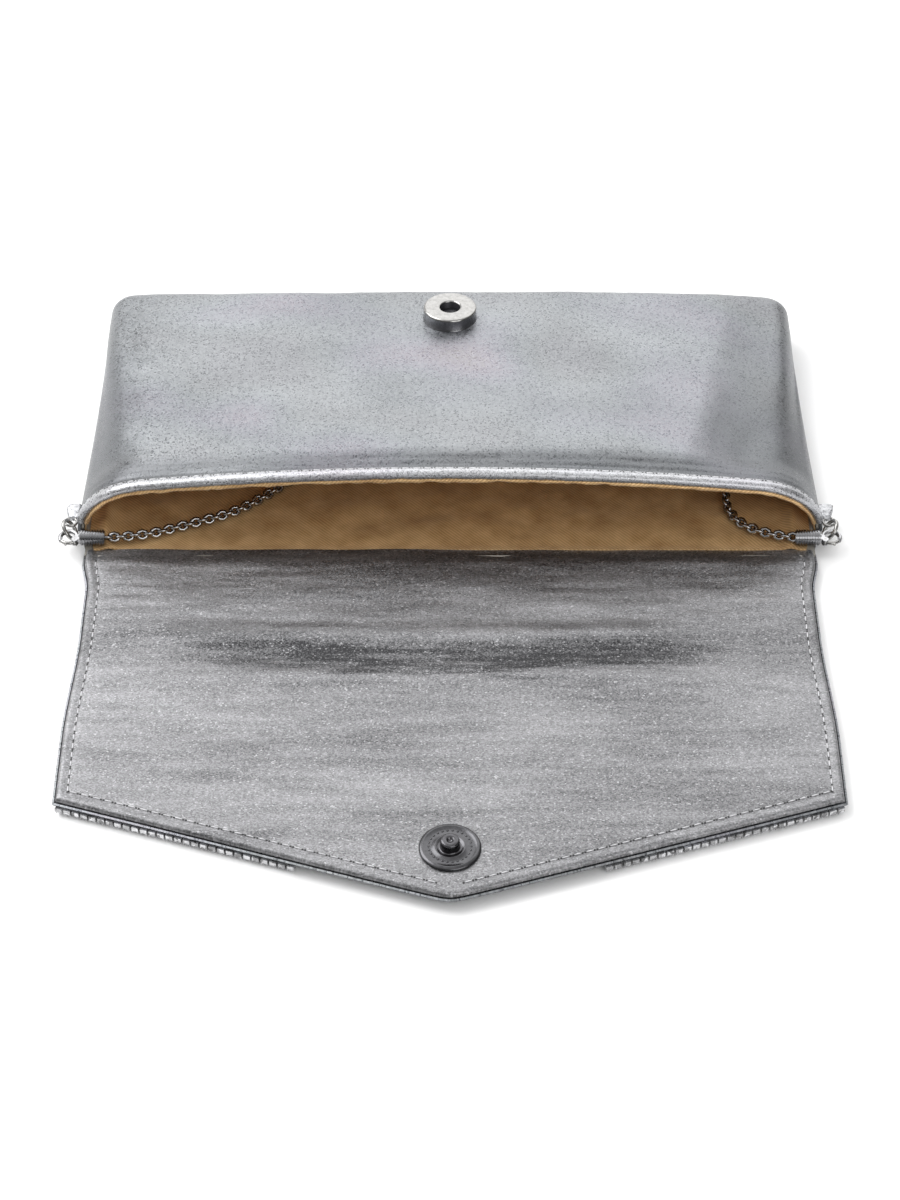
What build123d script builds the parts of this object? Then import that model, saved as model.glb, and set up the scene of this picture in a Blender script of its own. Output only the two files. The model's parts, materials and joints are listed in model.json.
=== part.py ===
from build123d import *
import math
import os

# Evening bag: an envelope clutch lying on its back with its flap open flat.
# X runs across the bag, +Y from the flap hinge into the bag, +Z up from the surface it lies on.
# Lengths are millimetres and angles degrees. Shapes are drawn with the flap hinge line at Y = 0,
# and save() moves them so that the origin is under the middle of the whole open bag.

# Body
MOUTH_HALF = 93.6  # half width of the body at its mouth
END_HALF = 89.8  # half width at the closed end
BODY_LENGTH = 92.0  # flap hinge to the closed end
MOUTH_TOP = 24.7  # height of the front panel at the mouth
END_TOP = 16.6  # height that the front panel's slope reaches at the closed end
MOUTH_CENTRE_Y = 4.4  # where the mouth's edge is at its highest point
MOUTH_CORNER_Y = 10.4  # where it meets the back panel at the corners
HAUNCH_SHARE = 0.8  # radius of the front panel's side arcs, as a share of its height
TOP_ROUNDING = 8.0
BOTTOM_ROUNDING = 5.0
CORNER_ROUNDING = 6.0
GUSSET = 8.0  # width of each side strip, seen from above
# Layers of the body, outside to inside
FABRIC = 0.9
BOARD = 0.8
LINING = 0.5
INSIDE = FABRIC + BOARD + LINING
BINDING_WIDTH = 3.2
BINDING_LIP = 0.8  # how far the binding stands in front of the edge that it wraps
BINDING_SKIN = 0.35

# Flap
FLAP_HALF = 91.0
FLAP_CORNER = 85.5  # hinge to the corners of its V
FLAP_TIP = 115.7  # hinge to its tip
FLAP_FABRIC = 0.8
FLAP_BOARD = 0.55
FLAP_LINING = 0.55
FLAP_HALF_THICK = (FLAP_FABRIC + FLAP_BOARD + FLAP_LINING) / 2
FOLD_SETBACK = 1.2  # from each fold's axis to the stiff plates on its two sides
TIP_ROUNDING = 2.0
BOARD_MARGIN = 3.2  # from the flap's sewn edge to its board

# Rhinestone trim under the V's edges
STONE_PITCH = 2.1
STONES = 28
SETTING_SIZE = 1.9
SETTING_HEIGHT = 1.1
STONE_HEIGHT = 1.0
TRIM_HEIGHT = SETTING_HEIGHT + STONE_HEIGHT
TRIM_INSET = 0.15  # the row's centre line, inside the flap's edge

# Magnetic snap
SOCKET_Y = 74.4
SOCKET_R = 7.0
SOCKET_HEIGHT = 3.5
SOCKET_HOLE_R = 2.6
SOCKET_WALL = 0.6
CORE_HEIGHT = 1.0
STUD_DISC_R = 7.1
STUD_DISC_HEIGHT = 1.0
STUD_R = 2.2
STUD_LENGTH = 2.0
SNAP_GAP = 0.3  # left between the two halves when the bag is shut
PLATE_R = 6.5
PLATE_THICK = 0.45

# Corner hardware and chain, given for the left side and mirrored for the right
HARDWARE_X = 95.0
CHAIN_Y = 3.6
CHAIN_Z = INSIDE + 2.1
RING_R = 2.5
RING_WIRE = 0.5
RING_LEAN = 35.0  # the ring's lean outwards from upright
RING_Y = CHAIN_Y + 0.4 + RING_R
LOOP_R = 1.5
LOOP_WIRE = 0.35
HOOK_R = 2.15
HOOK_WIRE = 0.6
LEVER_WIRE = 0.45
LEVER_FROM, LEVER_TO = 222.0, 316.0  # the sector of the hook that the lever closes
HOOK_GAP = 8  # degrees of the hook's circle between its nose and the lever's tip
LEVER_REACH = 3.65  # from the lever's pin to just past its tip: the nose is hollowed to this
LEVER_SWING = 1.1  # how far the lever's tip swings in past its pin, and a little more
PIN_R = 0.25
PIN_HOLE_R = 0.3
BARREL_R = 2.0
BARREL_CORE_R = 1.7
BARREL_FROM, BARREL_TO = 92.2, 86.0  # X of its two ends, measured outwards
RIB_PITCH = 0.66
CHAIN_D = 3.0
FLOOR_Z = INSIDE + CHAIN_D / 2 + 0.05
COIL_CENTRE = (50.0, 57.0)
COIL_MID_R = 18.0
COIL_HALF_WIDTH = 4.5
COIL_HEIGHT = 9.2

# The flap hinge lies on the back lining, and the fold at the middle of the open flap's thickness
HINGE_Z = INSIDE
FOLD_Z = TRIM_HEIGHT + FLAP_HALF_THICK
HINGE_Y = (FLAP_TIP - BODY_LENGTH) / 2

SLOPE = math.degrees(math.atan((MOUTH_TOP - END_TOP) / (BODY_LENGTH - MOUTH_CENTRE_Y)))


def panel_top(y):
    """Height of the front panel's middle line at y."""
    return MOUTH_TOP - (y - MOUTH_CENTRE_Y) * math.tan(math.radians(SLOPE))


def closed_flap():
    """Length of the spine, and distance from its fold to the stud, when the shut flap lies along
    the front panel with its stud in the socket and the spine stands square to it."""
    rise = SOCKET_HEIGHT + SNAP_GAP + STUD_DISC_HEIGHT + FLAP_HALF_THICK
    lean = math.radians(SLOPE)
    stud_y = SOCKET_Y + rise * math.sin(lean)
    stud_z = panel_top(SOCKET_Y) + rise * math.cos(lean) - HINGE_Z
    spine = stud_y * math.sin(lean) + stud_z * math.cos(lean)
    reach = stud_y * math.cos(lean) - stud_z * math.sin(lean)
    return spine, reach


SPINE, STUD_REACH = closed_flap()
SPINE_TILT = math.degrees(math.asin((FOLD_Z - HINGE_Z) / SPINE))
FOLD_Y = -SPINE * math.cos(math.radians(SPINE_TILT))
HINGE_TURN = 90 + SLOPE - SPINE_TILT  # from the open flap to the shut one
FOLD_TURN = 90 + SPINE_TILT

os.makedirs("parts", exist_ok=True)


def save(name, shape):
    """Write one piece, moved from the hinge's frame to the bag's own frame."""
    export_step(Pos(0, HINGE_Y, 0) * shape, f"parts/{name}.step")


def block(x, y, z):
    """Box between two limits on each axis."""
    size = [high - low for low, high in (x, y, z)]
    centre = [(low + high) / 2 for low, high in (x, y, z)]
    return Pos(*centre) * Box(*size)


def slab(low, high):
    """Everything between two heights."""
    return block((-200, 200), (-200, 200), (low, high))


def sided(side, shape):
    """A left-hand shape as it is, or mirrored to the right."""
    return shape if side < 0 else mirror(shape, about=Plane.YZ)


# ---- the body's layers: nested hulls, each one further in than the last ----


def arch_face(y, half, height):
    """Section across the body at y: a crown arc between two haunch arcs, closed along the ground."""
    haunch = HAUNCH_SHARE * height
    crown = (half**2 - 2 * half * haunch + height**2) / (2 * (height - haunch))
    turn = math.atan2(half - haunch, crown - height)
    join_x, join_z = crown * math.sin(turn), height - crown + crown * math.cos(turn)
    middle = (math.pi / 2 - turn) / 2
    mid_x, mid_z = half - haunch + haunch * math.cos(middle), haunch * math.sin(middle)
    arcs = [
        ThreePointArc((half, y, 0), (mid_x, y, mid_z), (join_x, y, join_z)),
        ThreePointArc((join_x, y, join_z), (0, y, height), (-join_x, y, join_z)),
        ThreePointArc((-join_x, y, join_z), (-mid_x, y, mid_z), (-half, y, 0)),
    ]
    return Face(Wire([*arcs, Line((-half, y, 0), (half, y, 0))]))


def hull(inset, mouth_shift=0.0):
    """Solid inside the layer at that depth, its mouth cut on the slant and its end rounded."""
    start, end = -30.0, BODY_LENGTH + 10.0
    faces = []
    for y in (start, end):
        share = (y - MOUTH_CENTRE_Y) / (BODY_LENGTH - MOUTH_CENTRE_Y)
        half = MOUTH_HALF + share * (END_HALF - MOUTH_HALF) - inset
        faces.append(arch_face(y, half, panel_top(y) - inset))
    arched = loft(faces, ruled=True)
    far, high = BODY_LENGTH - inset, 60.0
    lean = (MOUTH_CORNER_Y - MOUTH_CENTRE_Y) / MOUTH_TOP
    crest = [(y, panel_top(y) - inset) for y in (-30.0, far)]
    side = Polygon((-30, inset), (far, inset), crest[1], crest[0], align=None)
    ends = side.vertices().group_by(Axis.X)[-1].sort_by(Axis.Y)
    side = fillet(ends[0], BOTTOM_ROUNDING - min(inset, 3.0))
    top = side.vertices().filter_by(lambda v: abs(v.X - far) < 0.01).sort_by(Axis.Y)[-1]
    side = fillet(top, TOP_ROUNDING - inset)
    opening = Polygon(
        (MOUTH_CORNER_Y + mouth_shift + lean * 5, -5),
        (200, -5),
        (200, high),
        (MOUTH_CORNER_Y + mouth_shift - lean * high, high),
        align=None,
    )
    profile = extrude(Plane.YZ * (side & opening), 150, both=True)
    plan = Polygon(
        (-120, -30), (120, -30), (120, far), (-120, far), align=None
    ) & Polygon(
        (-MOUTH_HALF - 2, -30), (MOUTH_HALF + 2, -30),
        (END_HALF - inset, far), (-END_HALF + inset, far), align=None,
    )
    plan = fillet(plan.vertices().group_by(Axis.Y)[-1], CORNER_ROUNDING - inset)
    return arched & profile & extrude(plan, high)


def layer(outer, inner):
    """One layer of the body's wall, between two depths, above the back panel."""
    return (hull(outer) - hull(inner, -20)) & slab(inner, 60)


def back_plate(low, high):
    """Flat layer of the back panel, from the flap hinge to the closed end."""
    flat = hull(low, -20) & slab(low, high) & block((-200, 200), (MOUTH_CORNER_Y, 200), (-1, 60))
    strip = block((-FLAP_HALF, FLAP_HALF), (0, MOUTH_CORNER_Y), (low, high))
    return flat + strip


front_zone = extrude(
    Polygon(
        (-MOUTH_HALF + GUSSET, -30), (MOUTH_HALF - GUSSET, -30),
        (END_HALF - GUSSET, 150), (-END_HALF + GUSSET, 150), align=None,
    ),
    60,
)
right_side = block((0, 200), (-200, 200), (-10, 60))
left_side = block((-200, 0), (-200, 200), (-10, 60))

outer_shell = layer(0, FABRIC)
board_shell = layer(FABRIC, FABRIC + BOARD)
lining_shell = layer(FABRIC + BOARD, INSIDE)

save("back_panel", back_plate(0, FABRIC))
save("back_board", back_plate(FABRIC, FABRIC + BOARD))
save("back_lining", back_plate(FABRIC + BOARD, INSIDE))
save("front_panel", outer_shell & front_zone)
for side_name, half_space in (("left", left_side), ("right", right_side)):
    save(f"gusset_{side_name}", (outer_shell - front_zone) & half_space)
    save(f"gusset_lining_{side_name}", (lining_shell - front_zone) & half_space)

loop_y = RING_Y + RING_R + 0.4
loop_room = Pos(-HARDWARE_X, loop_y, CHAIN_Z) * Cylinder(LOOP_R + LOOP_WIRE + 0.1, 3 * LOOP_WIRE)
wrap = hull(-BINDING_SKIN, -BINDING_LIP) - hull(-BINDING_SKIN, BINDING_WIDTH)
binding = (wrap - hull(0) - hull(INSIDE + 0.3, -20)) & slab(INSIDE + 0.4, 60)
binding -= [loop_room, mirror(loop_room, about=Plane.YZ)]
save("mouth_binding", binding)

# ---- snap socket on the front panel ----

socket_frame = Pos(0, SOCKET_Y, panel_top(SOCKET_Y)) * Rot(-SLOPE, 0, 0)
cap = Cylinder(SOCKET_R, SOCKET_HEIGHT, align=(Align.CENTER, Align.CENTER, Align.MIN))
cap = fillet(cap.edges().group_by(Axis.Z)[-1], 0.5)
cap -= Cylinder(SOCKET_HOLE_R, 20)
cap -= Cylinder(
    SOCKET_R - SOCKET_WALL, SOCKET_HEIGHT - SOCKET_WALL, align=(Align.CENTER, Align.CENTER, Align.MIN)
)
hole_rim = cap.edges().filter_by(GeomType.CIRCLE).group_by(Axis.Z)[-1].sort_by(SortBy.RADIUS)[0]
cap = fillet(hole_rim, 0.3)
magnet = Pos(0, 0, 0.1) * Cylinder(
    SOCKET_R - SOCKET_WALL - 0.1, SOCKET_HEIGHT - SOCKET_WALL - 0.2,
    align=(Align.CENTER, Align.CENTER, Align.MIN),
) - Cylinder(SOCKET_HOLE_R + 0.1, 20)
core = Pos(0, 0, 0.1) * Cylinder(
    SOCKET_HOLE_R, CORE_HEIGHT - 0.1, align=(Align.CENTER, Align.CENTER, Align.MIN)
)
solid_body = hull(0)
save("snap_socket_cap", socket_frame * cap - solid_body)
save("snap_magnet", socket_frame * magnet - solid_body)
save("snap_socket_core", socket_frame * core - solid_body)
plate_frame = socket_frame * Pos(0, 0, -FABRIC - BOARD / 2)
socket_plate = Cylinder(PLATE_R, PLATE_THICK) - Cylinder(1.0, 5)
save("snap_socket_plate", plate_frame * socket_plate)
save("front_board", (board_shell & front_zone) - plate_frame * Cylinder(PLATE_R + 0.1, 4))
save("front_lining", (lining_shell & front_zone) - plate_frame * Cylinder(PLATE_R, PLATE_THICK + 0.1))

# ---- corner tabs, loops, rings and clasps ----

hook_place = Pos(-HARDWARE_X, CHAIN_Y, CHAIN_Z)
pin_turn = math.radians(LEVER_TO + 3)
pin_spot = Pos(HOOK_R * math.cos(pin_turn), HOOK_R * math.sin(pin_turn), 0)


def bent_bar(wire, start, end):
    """Round wire bent along the hook's circle between two angles."""
    path = CenterArc((0, 0, 0), HOOK_R, start, end - start)
    return sweep(Plane(origin=path @ 0, z_dir=path % 0) * Circle(wire), path=path)


def clasp_body():
    """Hook with a gap for its lever, two ears for the lever's pin, and a collar for the barrel."""
    hook = bent_bar(HOOK_WIRE, LEVER_TO + 36 - 360, LEVER_FROM - HOOK_GAP)
    hook -= pin_spot * (Cylinder(LEVER_REACH, 4) & block((-9, -2), (-3, LEVER_SWING), (-2, 2)))
    start = HOOK_R + HOOK_WIRE - 0.3
    collar_length = HARDWARE_X - BARREL_FROM - start
    collar = Pos(start + collar_length / 2, 0, 0) * Rot(0, 90, 0) * Cylinder(1.1, collar_length)
    ear_block = pin_spot * (Cylinder(0.8, 1.7) + Pos(0.57, 0.75, 0) * Box(1.14, 1.5, 1.7))
    lever_room = pin_spot * (Cylinder(0.95, 1.0) + Pos(-1.0, -0.5, 0) * Box(2.0, 1.8, 1.0))
    return hook + collar + (ear_block - lever_room) - pin_spot * Cylinder(PIN_R, 5)


def clasp_lever():
    """Sprung gate: an arc of wire with a thumb nub and a boss on its pin."""
    arc = bent_bar(LEVER_WIRE, LEVER_FROM, LEVER_TO)
    nub = Rot(0, 0, LEVER_FROM + 35) * Pos(HOOK_R + 0.45, 0, 0) * Rot(0, 90, 0) * Cylinder(0.3, 0.5)
    boss = pin_spot * Cylinder(0.7, 0.8)
    return arc + nub + boss - pin_spot * Cylinder(PIN_HOLE_R, 5)


def barrel():
    """Ribbed end of the chain: a plain core with ribs at an even pitch."""
    length = BARREL_FROM - BARREL_TO
    body = Cylinder(BARREL_CORE_R, length)
    for number in range(int(length / RIB_PITCH)):
        height = -length / 2 + RIB_PITCH * (number + 0.5) + 0.13
        body += Pos(0, 0, height) * Cylinder(BARREL_R, RIB_PITCH * 0.55)
    return Pos(-(BARREL_FROM + BARREL_TO) / 2, CHAIN_Y, CHAIN_Z) * Rot(0, 90, 0) * body


ring = Pos(-HARDWARE_X, RING_Y, CHAIN_Z) * Rot(0, -RING_LEAN, 0) * Rot(0, 90, 0) * Torus(RING_R, RING_WIRE)
loop = Pos(-HARDWARE_X, loop_y, CHAIN_Z) * Torus(LOOP_R, LOOP_WIRE)
tab = block((-HARDWARE_X - 1.0, -MOUTH_HALF + 1), (loop_y + 1.0, loop_y + 5.5), (CHAIN_Z - 1, CHAIN_Z + 1))
tab = tab - loop - solid_body - binding
lever_pin = hook_place * pin_spot * Cylinder(PIN_R, 1.7)

for side_name, side in (("left", -1), ("right", 1)):
    save(f"ring_tab_{side_name}", sided(side, tab))
    save(f"ring_loop_{side_name}", sided(side, loop))
    save(f"strap_ring_{side_name}", sided(side, ring))
    save(f"clasp_body_{side_name}", sided(side, hook_place * clasp_body()))
    save(f"clasp_lever_{side_name}", sided(side, hook_place * clasp_lever()))
    save(f"clasp_pin_{side_name}", sided(side, lever_pin))
    save(f"chain_end_{side_name}", sided(side, barrel()))

# ---- chain: a run from each clasp to a coil that lies in the bottom of the bag ----

coil = Pos(*COIL_CENTRE, INSIDE + 0.05 + COIL_HEIGHT / 2) * (
    Cylinder(COIL_MID_R + COIL_HALF_WIDTH, COIL_HEIGHT) - Cylinder(COIL_MID_R - COIL_HALF_WIDTH, 40)
)
outer_turn = COIL_MID_R + COIL_HALF_WIDTH - CHAIN_D / 2
LEFT_ROUTE = [
    (-BARREL_TO - 0.3, CHAIN_Y, CHAIN_Z),
    (-77.0, 4.2, 4.05),
    (-66.0, 9.0, FLOOR_Z),
    (-52.0, 14.5, FLOOR_Z),
    (-37.0, 30.0, FLOOR_Z),
    (-16.0, 50.0, FLOOR_Z),
    (8.0, 70.0, FLOOR_Z),
    (COIL_CENTRE[0] - 15.0, COIL_CENTRE[1] + outer_turn, FLOOR_Z),
    (COIL_CENTRE[0] + 2.0, COIL_CENTRE[1] + outer_turn - 0.4, FLOOR_Z),
]
RIGHT_ROUTE = [
    (BARREL_TO + 0.3, CHAIN_Y, CHAIN_Z),
    (77.5, 5.0, 4.05),
    (69.5, 13.0, FLOOR_Z),
    (70.0, 33.0, FLOOR_Z),
    (COIL_CENTRE[0] + outer_turn, COIL_CENTRE[1], FLOOR_Z),
]


def corner_radii(route):
    """Largest tangent arc at each inner point of a route, from its shorter run and its turn."""
    radii = []
    for before, here, after in zip(route, route[1:], route[2:]):
        first, second = Vector(*here) - Vector(*before), Vector(*after) - Vector(*here)
        half_turn = math.radians(first.get_angle(second) / 2)
        radii.append(0.45 * min(first.length, second.length) / math.tan(half_turn))
    return radii


def chain_tube(name, route, trims):
    """Round tube along straight runs and tangent arcs, cut flush with what it meets."""
    radii = corner_radii(route)
    path = FilletPolyline(*route, radius=radii)
    start = Plane(origin=path @ 0, z_dir=path % 0)
    whole = sweep(start * Circle(CHAIN_D / 2), path=path)
    share = whole.volume / (path.length * math.pi * CHAIN_D**2 / 4)
    print(f"{name}: {path.length:.1f} mm, radii {[round(r, 1) for r in radii]}, volume share {share:.4f}")
    for trim in trims:
        whole -= trim
    save(name, whole)
    return path.length


run_lengths = [
    chain_tube("chain_run_left", LEFT_ROUTE, [coil, barrel()]),
    chain_tube("chain_run_right", RIGHT_ROUTE, [coil, sided(1, barrel())]),
]
save("chain_coil", coil)

# ---- flap: the spine strip between hinge and fold, and the front part beyond the fold ----

spine_frame = Pos(0, 0, HINGE_Z) * Rot(-SPINE_TILT, 0, 0)
spine_reach = (-SPINE + FOLD_SETBACK, -FOLD_SETBACK)
spine_half = FLAP_HALF - 0.3


def spine_plate(low, high, margin=0.0):
    """Flat layer of the spine strip, between two heights about its middle."""
    return spine_frame * block(
        (-spine_half + margin, spine_half - margin), spine_reach, (low, high)
    )


def flap_outline(margin=0.0):
    """V-shaped front part of the flap, beyond the fold, seen from above."""
    corner_y, tip_y = FLAP_CORNER, FLAP_TIP
    slant = math.hypot(FLAP_HALF, tip_y - corner_y) / FLAP_HALF
    half = FLAP_HALF - margin
    tip = -tip_y + margin * slant
    corner = tip + half * (tip_y - corner_y) / FLAP_HALF
    near = FOLD_Y - FOLD_SETBACK
    outline = Polygon((-half, near), (-half, corner), (0, tip), (half, corner), (half, near), align=None)
    lowest = outline.vertices().sort_by(Axis.Y)
    return fillet(lowest[:3], TIP_ROUNDING)


def flap_plate(low, high, margin=0.0):
    """Flat layer of the flap's front part, between two heights about its middle."""
    return Pos(0, 0, FOLD_Z + low) * extrude(flap_outline(margin), high - low)


fabric_top = -FLAP_HALF_THICK + FLAP_FABRIC
board_top = fabric_top + FLAP_BOARD
save("flap_spine_outer", spine_plate(-FLAP_HALF_THICK, fabric_top))
save("flap_spine_board", spine_plate(fabric_top, board_top, BOARD_MARGIN))
save("flap_spine_lining", spine_plate(board_top, FLAP_HALF_THICK))

stud_y = FOLD_Y - STUD_REACH
stud_plate = Pos(0, stud_y, FOLD_Z + (fabric_top + board_top) / 2)
save("flap_outer", flap_plate(-FLAP_HALF_THICK, fabric_top))
save("flap_board", flap_plate(fabric_top, board_top, BOARD_MARGIN) - stud_plate * Cylinder(PLATE_R + 0.1, 4))
save("flap_lining", flap_plate(board_top, FLAP_HALF_THICK))
save("snap_stud_plate", stud_plate * (Cylinder(PLATE_R, PLATE_THICK) - Cylinder(1.0, 4)))

disc = Cylinder(STUD_DISC_R, STUD_DISC_HEIGHT, align=(Align.CENTER, Align.CENTER, Align.MIN))
disc = chamfer(disc.edges().group_by(Axis.Z)[-1], 0.4)
disc -= Pos(0, 0, STUD_DISC_HEIGHT) * Torus(STUD_R + 0.7, 0.25)
post = Pos(0, 0, STUD_DISC_HEIGHT) * Cylinder(
    STUD_R, STUD_LENGTH, align=(Align.CENTER, Align.CENTER, Align.MIN)
)
post = fillet(post.edges().group_by(Axis.Z)[-1], 0.6)
post -= Pos(0, 0, STUD_DISC_HEIGHT + STUD_LENGTH) * Cylinder(0.7, 1.2)
stud_frame = Pos(0, stud_y, FOLD_Z + FLAP_HALF_THICK)
save("snap_stud_disc", stud_frame * disc)
save("snap_stud", stud_frame * post)


def stone_frames():
    """Places of one side's stones, from the flap's right corner towards its tip, just inside the edge."""
    edge = Vector(-FLAP_HALF, FLAP_CORNER - FLAP_TIP, 0).normalized()
    inward = Vector(edge.Y, -edge.X, 0)
    start = Vector(FLAP_HALF, -FLAP_CORNER, 0) + inward * TRIM_INSET
    turn = math.degrees(math.atan2(edge.Y, edge.X))
    for number in range(STONES):
        spot = start + edge * (1.6 + STONE_PITCH * number)
        yield Pos(spot.X, spot.Y, 0) * Rot(0, 0, turn)


def settings_and_stones():
    """Square claw settings under the flap's edge, and a stone below each."""
    settings, stones = [], []
    for place in stone_frames():
        box = Pos(0, 0, TRIM_HEIGHT - SETTING_HEIGHT / 2) * Box(SETTING_SIZE, SETTING_SIZE, SETTING_HEIGHT)
        settings.append(place * box)
        crown = Pos(0, 0, STONE_HEIGHT) * extrude(
            RegularPolygon(SETTING_SIZE / 2, 8), -STONE_HEIGHT, taper=28
        )
        stones.append(place * crown)
    return Compound(children=settings), Compound(children=stones)


settings, stones = settings_and_stones()
for side_name, side in (("right", -1), ("left", 1)):
    save(f"trim_settings_{side_name}", sided(side, settings))
    save(f"trim_stones_{side_name}", sided(side, stones))

print(f"hinge at Y {HINGE_Y:.2f} Z {HINGE_Z:.2f}, fold at Y {HINGE_Y + FOLD_Y:.2f} Z {FOLD_Z:.2f}")
print(f"hinge turns {HINGE_TURN:.2f}, fold turns {FOLD_TURN:.2f}, stud is {SPINE + STUD_REACH:.1f} from hinge")
print(f"chain runs {run_lengths[0]:.1f} and {run_lengths[1]:.1f} mm")
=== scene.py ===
"""Evening bag: the fabric, metalwork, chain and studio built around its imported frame."""
import json
import logging
import math
from collections.abc import Callable, Iterable, Sequence
from dataclasses import dataclass, field
from enum import Enum

import bmesh
import bpy
import numpy as np
from mathutils import Matrix, Vector, noise


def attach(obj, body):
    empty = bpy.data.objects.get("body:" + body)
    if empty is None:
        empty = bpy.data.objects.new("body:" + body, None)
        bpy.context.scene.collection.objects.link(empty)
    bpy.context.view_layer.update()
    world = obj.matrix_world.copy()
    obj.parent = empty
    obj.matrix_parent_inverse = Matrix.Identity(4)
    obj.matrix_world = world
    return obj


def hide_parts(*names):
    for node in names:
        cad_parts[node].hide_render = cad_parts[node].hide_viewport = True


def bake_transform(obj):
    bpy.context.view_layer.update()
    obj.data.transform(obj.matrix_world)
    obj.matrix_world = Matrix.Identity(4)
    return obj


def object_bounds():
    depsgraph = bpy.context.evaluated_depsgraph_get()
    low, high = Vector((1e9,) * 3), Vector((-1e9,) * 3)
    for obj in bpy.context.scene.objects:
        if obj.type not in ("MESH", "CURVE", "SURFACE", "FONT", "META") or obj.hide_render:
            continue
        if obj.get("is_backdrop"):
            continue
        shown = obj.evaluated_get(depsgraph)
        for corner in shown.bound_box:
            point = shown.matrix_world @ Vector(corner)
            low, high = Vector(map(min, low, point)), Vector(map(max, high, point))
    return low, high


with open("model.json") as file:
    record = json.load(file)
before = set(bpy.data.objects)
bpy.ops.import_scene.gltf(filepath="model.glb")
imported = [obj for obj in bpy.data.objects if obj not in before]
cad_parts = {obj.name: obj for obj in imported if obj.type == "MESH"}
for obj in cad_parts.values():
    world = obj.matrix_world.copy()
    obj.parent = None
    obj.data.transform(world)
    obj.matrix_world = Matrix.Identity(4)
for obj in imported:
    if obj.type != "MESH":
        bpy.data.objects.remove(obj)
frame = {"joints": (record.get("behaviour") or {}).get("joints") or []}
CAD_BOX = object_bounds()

logging.basicConfig(level=logging.INFO, format="%(message)s")
log = logging.getLogger("evening_bag")

MM = 0.001
JOINTS = {joint["name"]: joint for joint in frame["joints"]}
HINGE = Vector(JOINTS["flap_hinge"]["pos_m"])
FOLD = Vector(JOINTS["flap_fold"]["pos_m"])


class Side(Enum):
    """The two ends of the bag, as the sign of X."""

    LEFT = -1
    RIGHT = 1

    @property
    def word(self) -> str:
        """Name used in node and piece names."""
        return self.name.lower()


class Body(str, Enum):
    """Rigid bodies of the frame."""

    BAG = "bag"
    SPINE = "flap_spine"
    FLAP = "flap_front"


class Slot(str, Enum):
    """Material slots of the record."""

    SILVER = "silver_fabric"
    LAME = "lame_lining"
    GOLD = "gold_lining"
    BINDING = "binding_fabric"
    BOARD = "board"
    NICKEL = "nickel"
    GUNMETAL = "gunmetal"
    MAGNET = "magnet_iron"
    CHAIN = "chain_metal"
    SETTINGS = "silver_settings"
    STONES = "stones"


def at(x: float, y: float, z: float) -> Vector:
    """Point in the bag's frame, in metres.

    Args:
        x: millimetres across the bag.
        y: millimetres from the flap hinge, positive into the bag.
        z: millimetres above the table.

    Returns:
        The point in metres.
    """
    return Vector((x * MM, HINGE.y + y * MM, z * MM))


def smooth(low: float, high: float, value: float) -> float:
    """Smoothstep of value between two limits."""
    share = min(1.0, max(0.0, (value - low) / (high - low)))
    return share * share * (3 - 2 * share)


def bump(value: float, centre: float, width: float) -> float:
    """Bell of height 1 about a centre."""
    return math.exp(-(((value - centre) / width) ** 2))


# ---------------------------------------------------------------- shader maths


class Value:
    """A shader socket that takes part in arithmetic."""

    def __init__(self, shader: "Shader", socket: bpy.types.NodeSocket) -> None:
        """Wraps one socket.

        Args:
            shader: the material that the socket belongs to.
            socket: an output socket.
        """
        self.shader, self.socket = shader, socket

    def _math(self, operation: str, *values: "Value | float") -> "Value":
        """One Math node over up to three values."""
        return self.shader.node("ShaderNodeMath", {"operation": operation}, *values)

    def __add__(self, other: "Value | float") -> "Value":
        """Sum."""
        return self._math("ADD", self, other)

    def __sub__(self, other: "Value | float") -> "Value":
        """Difference."""
        return self._math("SUBTRACT", self, other)

    def __rsub__(self, other: float) -> "Value":
        """Difference from a number."""
        return self._math("SUBTRACT", other, self)

    def __mul__(self, other: "Value | float") -> "Value":
        """Product."""
        return self._math("MULTIPLY", self, other)

    def clamp(self) -> "Value":
        """The value held between 0 and 1."""
        return self.shader.node("ShaderNodeClamp", {}, self)

    __radd__ = __add__
    __rmul__ = __mul__


Colour = tuple[float, float, float]


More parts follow.
